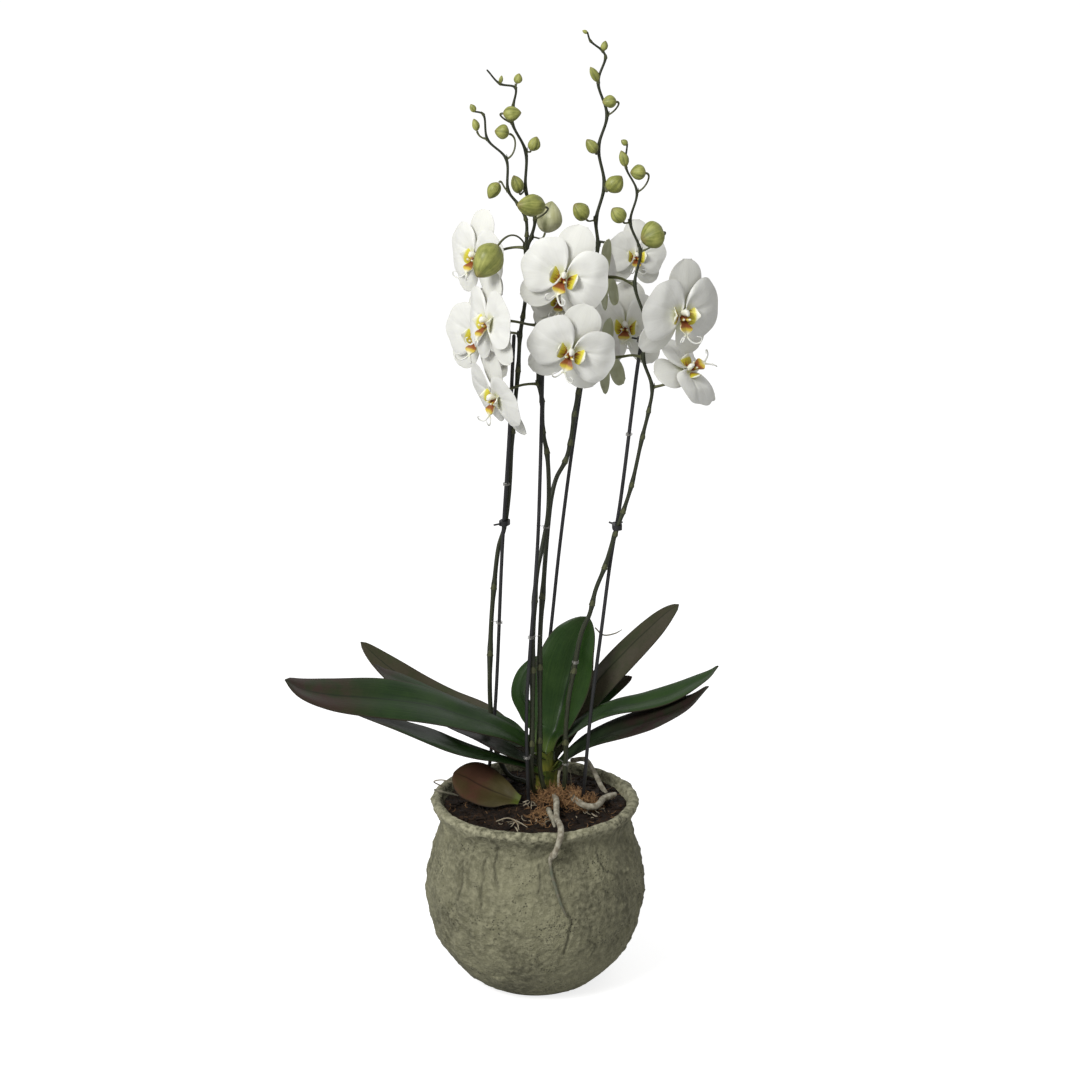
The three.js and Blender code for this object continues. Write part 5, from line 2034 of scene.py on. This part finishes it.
@dataclass
class FlowerShape:
    """Moth-orchid flower, built facing +Z with its top along +Y and its throat at the origin."""

    bloom: Bloom
    seed: int
    # olive: sepals that are partly greenish and partly darkened by painted shade.
    olive: bool = False
    petal_reach: float = 42.0
    petal_width: float = 61.0
    petal_spread: float = 84.0
    foot_reach: float = 7.0
    lip_size: float = 1.2
    sepal_rows: int = 26
    sepal_columns: int = 16
    petal_rows: int = 26
    petal_columns: int = 44
    draw: random.Random = field(init=False)

    def __post_init__(self) -> None:
        """Sets the source of this flower's own small differences."""
        self.draw = random.Random(100 + self.seed)

    @staticmethod
    def oval(u: float, widest: float, foot: float) -> float:
        """Share of the full width along a sepal, from a narrow foot to a round tip.

        Args:
            u: Share along the sepal.
            widest: Share where it is widest.
            foot: Share of the width at its foot.

        Returns:
            Share of the full width.
        """
        if u < widest:
            return lerp(foot, 1.0, math.sin(0.5 * math.pi * u / widest) ** 1.15)
        return max(0.10, 1 - ((u - widest) / (1 - widest)) ** 2.3) ** 0.52

    def sepal(self, mesh: Mesher, shape: TepalShape) -> None:
        """Adds one sepal.

        Args:
            mesh: Piece that takes it.
            shape: Its sizes and direction.
        """
        turn = math.radians(shape.angle + self.draw.gauss(0, 2.5))
        out = Vector((math.cos(turn), math.sin(turn), 0))
        over = Vector((out.y, -out.x, 0))
        phase = self.draw.uniform(0, 6.3)
        back = shape.back + self.draw.gauss(0, 1.3)
        grid: Rings = []
        for i in range(self.sepal_rows + 1):
            u = 1 - (1 - i / self.sepal_rows) ** 1.5
            reach = 2 + (shape.length - 2) * u
            half = 0.5 * shape.width * self.oval(u, 0.58, 0.24)
            row = []
            for j in range(self.sepal_columns + 1):
                v = 2 * j / self.sepal_columns - 1
                z = shape.start + 1.4 * math.sin(math.pi * u) - back * u**2.2
                z -= shape.cup * v * v * math.sin(math.pi * min(u * 1.1, 1.0))
                z += 0.8 * bump(v, 0, 0.12) * (1 - u) + 0.5 * math.sin(4.5 * v + phase) * u * v * v
                row.append(out * reach + over * (half * v) + Vector((0, 0, z)))
            grid.append(row)
        grid = [[p * MM for p in row] for row in grid]
        mesh.sheet(grid, lambda u, v: (1.1 - 0.55 * abs(v)) * MM)

    def petal(self, mesh: Mesher, side: int) -> None:
        """Adds one broad petal, fanned out from its narrow foot; side is 1 or -1.

        Args:
            mesh: Piece that takes it.
            side: 1 for the right petal, -1 for the left.
        """
        lean = math.radians(9 + self.draw.gauss(0, 2.5))
        spread = math.radians(self.petal_spread)
        phase = self.draw.uniform(0, 6.3)
        droop = 3.0 + self.draw.gauss(0, 1.2)
        grid: Rings = []
        for i in range(self.petal_rows + 1):
            rho = 0.03 + 0.97 * (i / self.petal_rows) ** 0.9
            row = []
            for j in range(self.petal_columns + 1):
                v = 2 * j / self.petal_columns - 1
                a = v * spread
                c, w = math.cos(a), math.sin(a) * self.petal_reach / self.petal_width
                outline = max(self.petal_reach * c / (c * c + w * w), self.foot_reach)
                outline *= 1 + 0.025 * math.sin(5 * a + phase) + 0.02 * math.sin(9 * a + 2 * phase)
                reach = outline * rho
                angle = a + lean
                x, y = 1.5 + reach * math.cos(angle), 1.0 + reach * math.sin(angle)
                far = x / self.petal_reach
                z = 1.0 + 4.4 * math.sin(0.5 * math.pi * min(rho * 1.15, 1.0)) - droop * rho**3
                z += 1.3 * smoothstep(0.2, 0.9, abs(v)) * rho - 2.4 * smoothstep(0.55, 1.05, far)
                z += 1.0 * rho * rho * math.sin(3.1 * a + phase) + 0.7 * noise.noise(
                    Vector((x * 0.09, y * 0.09, self.seed + side)))
                z -= 0.9 * bump(a, 0.12, 0.1) * (1 - rho) ** 0.5
                row.append(Vector((side * x, y, z)) * MM)
            grid.append(row if side < 0 else row[::-1])
        mesh.sheet(grid, lambda u, v: (1.15 - 0.75 * u) * MM)

    def lobe(self, mesh: Mesher, side: int) -> None:
        """Adds one side lobe of the lip, curved up beside the column.

        Args:
            mesh: Piece that takes it.
            side: 1 for the right lobe, -1 for the left.
        """
        grid: Rings = []
        rows, columns = 16, 14
        for i in range(rows + 1):
            u = i / rows
            row = []
            for j in range(columns + 1):
                v = 2 * j / columns - 1
                half = 6.8 * math.sin(math.pi * (0.10 + 0.86 * u)) ** 0.7
                x = 2.4 + 9.2 * u + 1.6 * math.sin(math.pi * u)
                y = -3.0 + 4.4 * u + half * v * 0.95
                z = 1.6 + 9.5 * u**1.15 - 2.6 * v * v * (0.3 + u) - 0.28 * half * v
                row.append(Vector((side * x, y, z)) * MM)
            grid.append(row if side < 0 else row[::-1])
        mesh.sheet(grid, lambda u, v: 1.0 * MM * (1.1 - 0.6 * u))

    def tongue(self, mesh: Mesher) -> None:
        """Adds the middle lobe of the lip, an arrow shape that ends in two curled tendrils.

        Args:
            mesh: Piece that takes it.
        """
        grid: Rings = []
        rows, columns = 20, 10
        for i in range(rows + 1):
            u = i / rows
            half = 2.3 + 3.4 * bump(u, 0.50, 0.20) - 1.7 * smoothstep(0.55, 1.0, u)
            row = []
            for j in range(columns + 1):
                v = 2 * j / columns - 1
                y = -2.4 - 13.0 * u**0.95
                z = 1.5 + 13.0 * math.sin(0.5 * math.pi * u) ** 1.1 - 2.0 * u
                z += 1.7 * abs(v) * bump(u, 0.45, 0.3)
                row.append(Vector((half * v, y, z)) * MM)
            grid.append(row[::-1])
        mesh.sheet(grid, lambda u, v: 1.5 * MM * (1.2 - 0.5 * u), tone=1)
        for side in (-1, 1):
            curl = self.draw.uniform(0.8, 1.15)
            points = [
                (1.0 * side, -14.6, 12.4), (3.2 * side, -17.4, 14.6), (6.0 * side * curl, -19.0, 17.0),
                (9.0 * side * curl, -17.0, 19.4), (8.4 * side * curl, -13.4, 20.2), (5.6 * side, -12.6, 19.2),
            ]
            route = Route(tuple(mm(*p) for p in points))
            line = [route.point(k / 22) for k in range(23)]
            mesh.tube(line, lambda t, _: lerp(0.85, 0.42, t) * MM, 8, 1.0, 2, (False, True))

    def column(self, mesh: Mesher) -> None:
        """Adds the column with its hooded cap, and the callus below it.

        Args:
            mesh: Piece that takes it.
        """
        bend = ((0, 0.5, -4), (0, 0.8, 0), (0, 1.6, 4.0), (0, 2.8, 7.0), (0, 1.8, 9.2))
        route = Route(tuple(mm(*p) for p in bend))
        line = [route.point(k / 16) for k in range(17)]

        def swell(t: float, angle: float) -> float:
            """Radius of the column in metres."""
            base = lerp(1.7, 2.5, smoothstep(0.15, 0.6, t)) - 0.8 * smoothstep(0.85, 1.0, t)
            return base * (1 - 0.12 * math.cos(2 * angle)) * MM

        mesh.tube(line, swell, 18, 1.0, 3, (False, True))
        for side in (-1, 1):
            rise = ((0.9, -2.6, 2.2), (1.6, -3.2, 5.0), (2.2, -3.0, 7.6), (3.0, -2.2, 9.4))
            knob = Route(tuple(mm(side * x, y, z) for x, y, z in rise))
            line = [knob.point(k / 10) for k in range(11)]
            mesh.tube(line, lambda t, _: lerp(1.7, 0.9, t) * MM, 10, 1.0, 1, (False, True))

    def place(self, piece: bpy.types.Object, grow: float = 1.0) -> None:
        """Turns a piece of the flower to its place on the plant and settles it.

        Args:
            piece: The piece, as built round the throat.
            grow: Size of this piece against the flower.
        """
        at = above(self.bloom.at, GROUND_LEVEL)
        size = Matrix.Diagonal((self.bloom.size * grow,) * 3).to_4x4()
        piece.data.transform(Matrix.Translation(at) @ self.bloom.turn().to_matrix().to_4x4() @ size)
        settle(piece, "petal", self.bloom.name)

    def build(self) -> None:
        """Makes the sepals, the petals and the lip with the column."""
        name = self.bloom.name
        mesh = Mesher()
        self.sepal(mesh, TepalShape(90, 51, 38))
        self.sepal(mesh, TepalShape(231, 50, 33, back=5.0))
        self.sepal(mesh, TepalShape(309, 50, 33, back=5.0))
        self.place(mesh.object(f"{name}_sepals", (SEPAL_OLIVE_SHADED if self.olive else SEPAL,), 70))
        mesh = Mesher()
        self.petal(mesh, 1)
        self.petal(mesh, -1)
        self.place(mesh.object(f"{name}_petals", (PETAL,), 70))
        mesh = Mesher()
        self.lobe(mesh, 1)
        self.lobe(mesh, -1)
        self.tongue(mesh)
        self.column(mesh)
        self.place(mesh.object(f"{name}_lip", (LIP, CALLUS, TENDRIL, COLUMN), 70), self.lip_size)


# ---------------------------------------------------------------- roots
@dataclass
class Roots:
    """Loose aerial roots: one over the rim, one coiled on the mix, one behind, and thin dry ones."""

    pot: Pot
    ground: Ground
    radius: float = 3.1
    thin_radius: float = 1.7
    gap: float = 0.35
    inside: Table = ((20, -5, 10), (21, -14, 12), (22, -26, 14))
    rim_angle: float = -76.0
    wall_run: tuple[tuple[float, float], ...] = (
        (-78, 192), (-79.5, 184), (-81.5, 174), (-81, 160), (-79, 144), (-77, 130), (-74.5, 117))
    coiled: Table = (
        (37, -2, 11), (41, -16, 11), (47, -28, 11), (55, -35, 10), (63, -32, 9), (68, -22, 9),
        (72, -10, 9), (78, -4, 9), (84, 2, 9))
    behind: Table = ((40, 48, 30), (54, 44, 32), (61, 37, 24), (67, 29, 15), (72, 17, 9), (75, 11, 8))
    thin: tuple[tuple[Table, float], ...] = (
        (((33, 30, 38), (28, 22, 34), (25, 14, 26), (25, 10, 14), (28, 6, 6)), 1.5),
        (((14, -34, 6), (15, -50, 10), (18, -62, 7), (20, -70, 2)), 2.9),
        (((-98, 26, 8), (-108, 22, 15), (-99, 10, 22), (-86, 8, 20)), 0.7),
        (((-106, 2, 14), (-98, 1, 12), (-90, 4, 9), (-82, 8, 5)), 1.3),
        (((-40, -58, 3), (-28, -64, 9), (-16, -66, 5), (-8, -74, 3)), 0.7),
        (((64, 60, 175), (72, 58, 168), (84, 56, 170), (92, 54, 175)), 0.8),
        (((38, 6, 5), (38, 5, 20), (37, 4, 36)), 0.5),
    )

    def skin(self, seed: float, base: Callable[[float], float]) -> Callable[[float, float], float]:
        """Radius with the lumps of a dry root.

        Args:
            seed: Number that sets the lumps.
            base: Smooth radius in millimetres from the share along.

        Returns:
            Radius in metres from the share along and the angle.
        """
        def radius(t: float, angle: float) -> float:
            """Lumpy radius in metres.

            Args:
                t: Share along the root.
                angle: Angle round it.

            Returns:
                Radius.
            """
            lump = noise.noise(Vector((math.cos(angle), math.sin(angle), 16 * t + seed)))
            ring = noise.noise(Vector((seed, 9 * t, 1.0)))
            return base(t) * (1 + 0.10 * lump + 0.10 * ring) * MM
        return radius

    def over_rim(self) -> None:
        """Makes the root that hangs over the rim and lies down the wall."""
        level = self.ground.level
        rim_out = self.pot.rim_radius
        rim_in = self.pot.rim_radius - self.pot.wall
        clear = self.radius + 2 * self.gap

        def around(degrees: float, r: float, z: float) -> Vector:
            """Place at an angle round the pot's axis, in metres."""
            return mm(r * math.cos(math.radians(degrees)), r * math.sin(math.radians(degrees)), z)

        points = [mm(x, y, z + level) for x, y, z in self.inside]
        points += [
            around(self.rim_angle + 4, rim_in - 26, self.pot.height + clear - 2),
            around(self.rim_angle + 1, rim_in - 2, self.pot.height + clear + 1.5),
            around(self.rim_angle, rim_out - 1, self.pot.height + clear + 0.5),
            around(self.rim_angle - 1, rim_out + clear + 0.5, self.pot.height - 2),
        ]
        for degrees, z in self.wall_run:
            wall = self.pot.radius_at(z)
            if z > self.pot.neck_height:
                wall = max(wall, rim_out - 2)
            hug = 1.4 * smoothstep(175, 150, z)
            points.append(around(degrees, wall + clear - hug, z))
        route = Route(tuple(points))
        spine = [route.point(share) for share in route.even(110)]
        knob = 0.66

        def base(t: float) -> float:
            """Smooth radius in millimetres."""
            thin = lerp(self.radius, self.thin_radius, smoothstep(knob - 0.03, knob + 0.08, t))
            return thin * (1 + 0.30 * bump(t, knob, 0.022)) * (1 - 0.35 * smoothstep(0.9, 1.0, t))

        mesh = Mesher()
        mesh.tube(spine, self.skin(3.0, base), 18)
        for i, mark in enumerate(mesh.marks):
            height = mesh.points[i].z / MM
            mesh.marks[i] = (mark[0], mark[1], smoothstep(176, 166, height))
        settle(mesh.object("root_over_rim_skin", (ROOT_SKIN,), 80), "root", "root_over_rim")

    def build(self) -> None:
        """Makes every root."""
        self.over_rim()
        level = self.ground.level
        for name, table, thick in (("root_coiled", self.coiled, 3.4), ("root_back", self.behind, 2.6)):
            route = Route.raised(table, level)
            spine = [route.point(share) for share in route.even(60)]
            mesh = Mesher()
            skin = self.skin(len(name), lambda t, r=thick: r * (1 - 0.25 * smoothstep(0.9, 1, t)))
            mesh.tube(spine, skin, 16, ends=(True, True))
            settle(mesh.object(f"{name}_skin", (ROOT_SKIN,), 80), "root", name)
        for k, (table, thick) in enumerate(self.thin):
            route = Route.raised(table, level)
            spine = [route.point(share) for share in route.even(30)]
            mesh = Mesher()
            skin = self.skin(k + 9.0, lambda t, r=thick: r * (1 - 0.5 * smoothstep(0.7, 1, t)))
            mesh.tube(spine, skin, 10, 0.3 + 0.1 * k, ends=(True, True))
            settle(mesh.object(f"thin_root_{k + 1}", (STRAW if k in (2, 4) else ROOT_SKIN,), 80), "root")


# ---------------------------------------------------------------- studio
@dataclass
class Studio:
    """Pale floor, soft lights and the camera."""

    camera_at: Triple = (0.005, -2.2, 1.08)
    tilt: float = 15.2
    lens: float = 74.2
    world: float = 0.48
    floor_drop: float = -0.0006

    def camera(self) -> None:
        """Places the camera."""
        data = bpy.data.cameras.new("camera")
        data.lens = self.lens
        data.clip_end = 100.0
        camera = bpy.data.objects.new("camera", data)
        camera.location = self.camera_at
        camera.rotation_euler = (math.radians(90 - self.tilt), 0, 0)
        bpy.context.scene.collection.objects.link(camera)
        bpy.context.scene.camera = camera

    def floor(self) -> None:
        """Makes the floor, a thin wide slab."""
        reach = 70.0
        mesh = Mesher()
        steps = 8
        marks = [lerp(-reach, reach, i / steps) for i in range(steps + 1)]
        grid = [[Vector((x, y, self.floor_drop)) for x in marks] for y in marks]
        mesh.sheet(grid, lambda u, v: 0.001)
        mesh.object("floor", (FLOOR,))

    def light(self, name: str, at: Triple, size: float, power: float) -> None:
        """Places a soft square light that looks at the plant.

        Args:
            name: Name of the lamp.
            at: Its place in metres.
            size: Side of the square in metres.
            power: Power in watts.
        """
        data = bpy.data.lights.new(name, "AREA")
        data.size = size
        data.energy = power
        lamp = bpy.data.objects.new(name, data)
        lamp.location = at
        lamp.rotation_euler = (Vector((0, 0, 0.45)) - Vector(at)).to_track_quat("-Z", "Y").to_euler()
        bpy.context.scene.collection.objects.link(lamp)

    def build(self) -> None:
        """Makes the studio."""
        self.camera()
        self.floor()
        self.light("key light", (-1.6, -2.1, 2.4), 1.2, 88.0)
        self.light("back light", (1.2, 1.8, 2.2), 1.8, 7.0)
        scene = bpy.context.scene
        scene.view_settings.view_transform = "Standard"
        world = bpy.data.worlds.new("studio")
        world.use_nodes = True
        shade = world.node_tree.nodes["Background"]
        shade.inputs["Color"].default_value = (1.0, 1.0, 1.0, 1.0)
        graph = Graph(world.node_tree)
        seen = graph.node("LightPath").outputs["Is Camera Ray"]
        world.node_tree.links.new(graph.span(seen, 0.0, 1.0, self.world, 1.0), shade.inputs["Strength"])
        scene.world = world


GROUND_LEVEL = Ground(Pot()).level


def main() -> None:
    """Builds the studio and the plant in order."""
    logging.basicConfig(level=logging.INFO, format="%(name)s: %(message)s")
    Studio().build()
    pot = Pot()
    ground = Ground(pot)
    pot.build()
    ground.build()
    Crown(ground).build()
    Foliage(ground).build()
    Supports(ground).build()
    Stalks(ground).build()
    for seed, bloom in enumerate(BLOOMS):
        # The two flowers behind spike 4 take the olive sepals, which are partly painted shade.
        FlowerShape(bloom, seed, bloom.name in ("flower_4_4", "flower_4_2")).build()
    Roots(pot, ground).build()


if __name__ == "__main__":
    main()
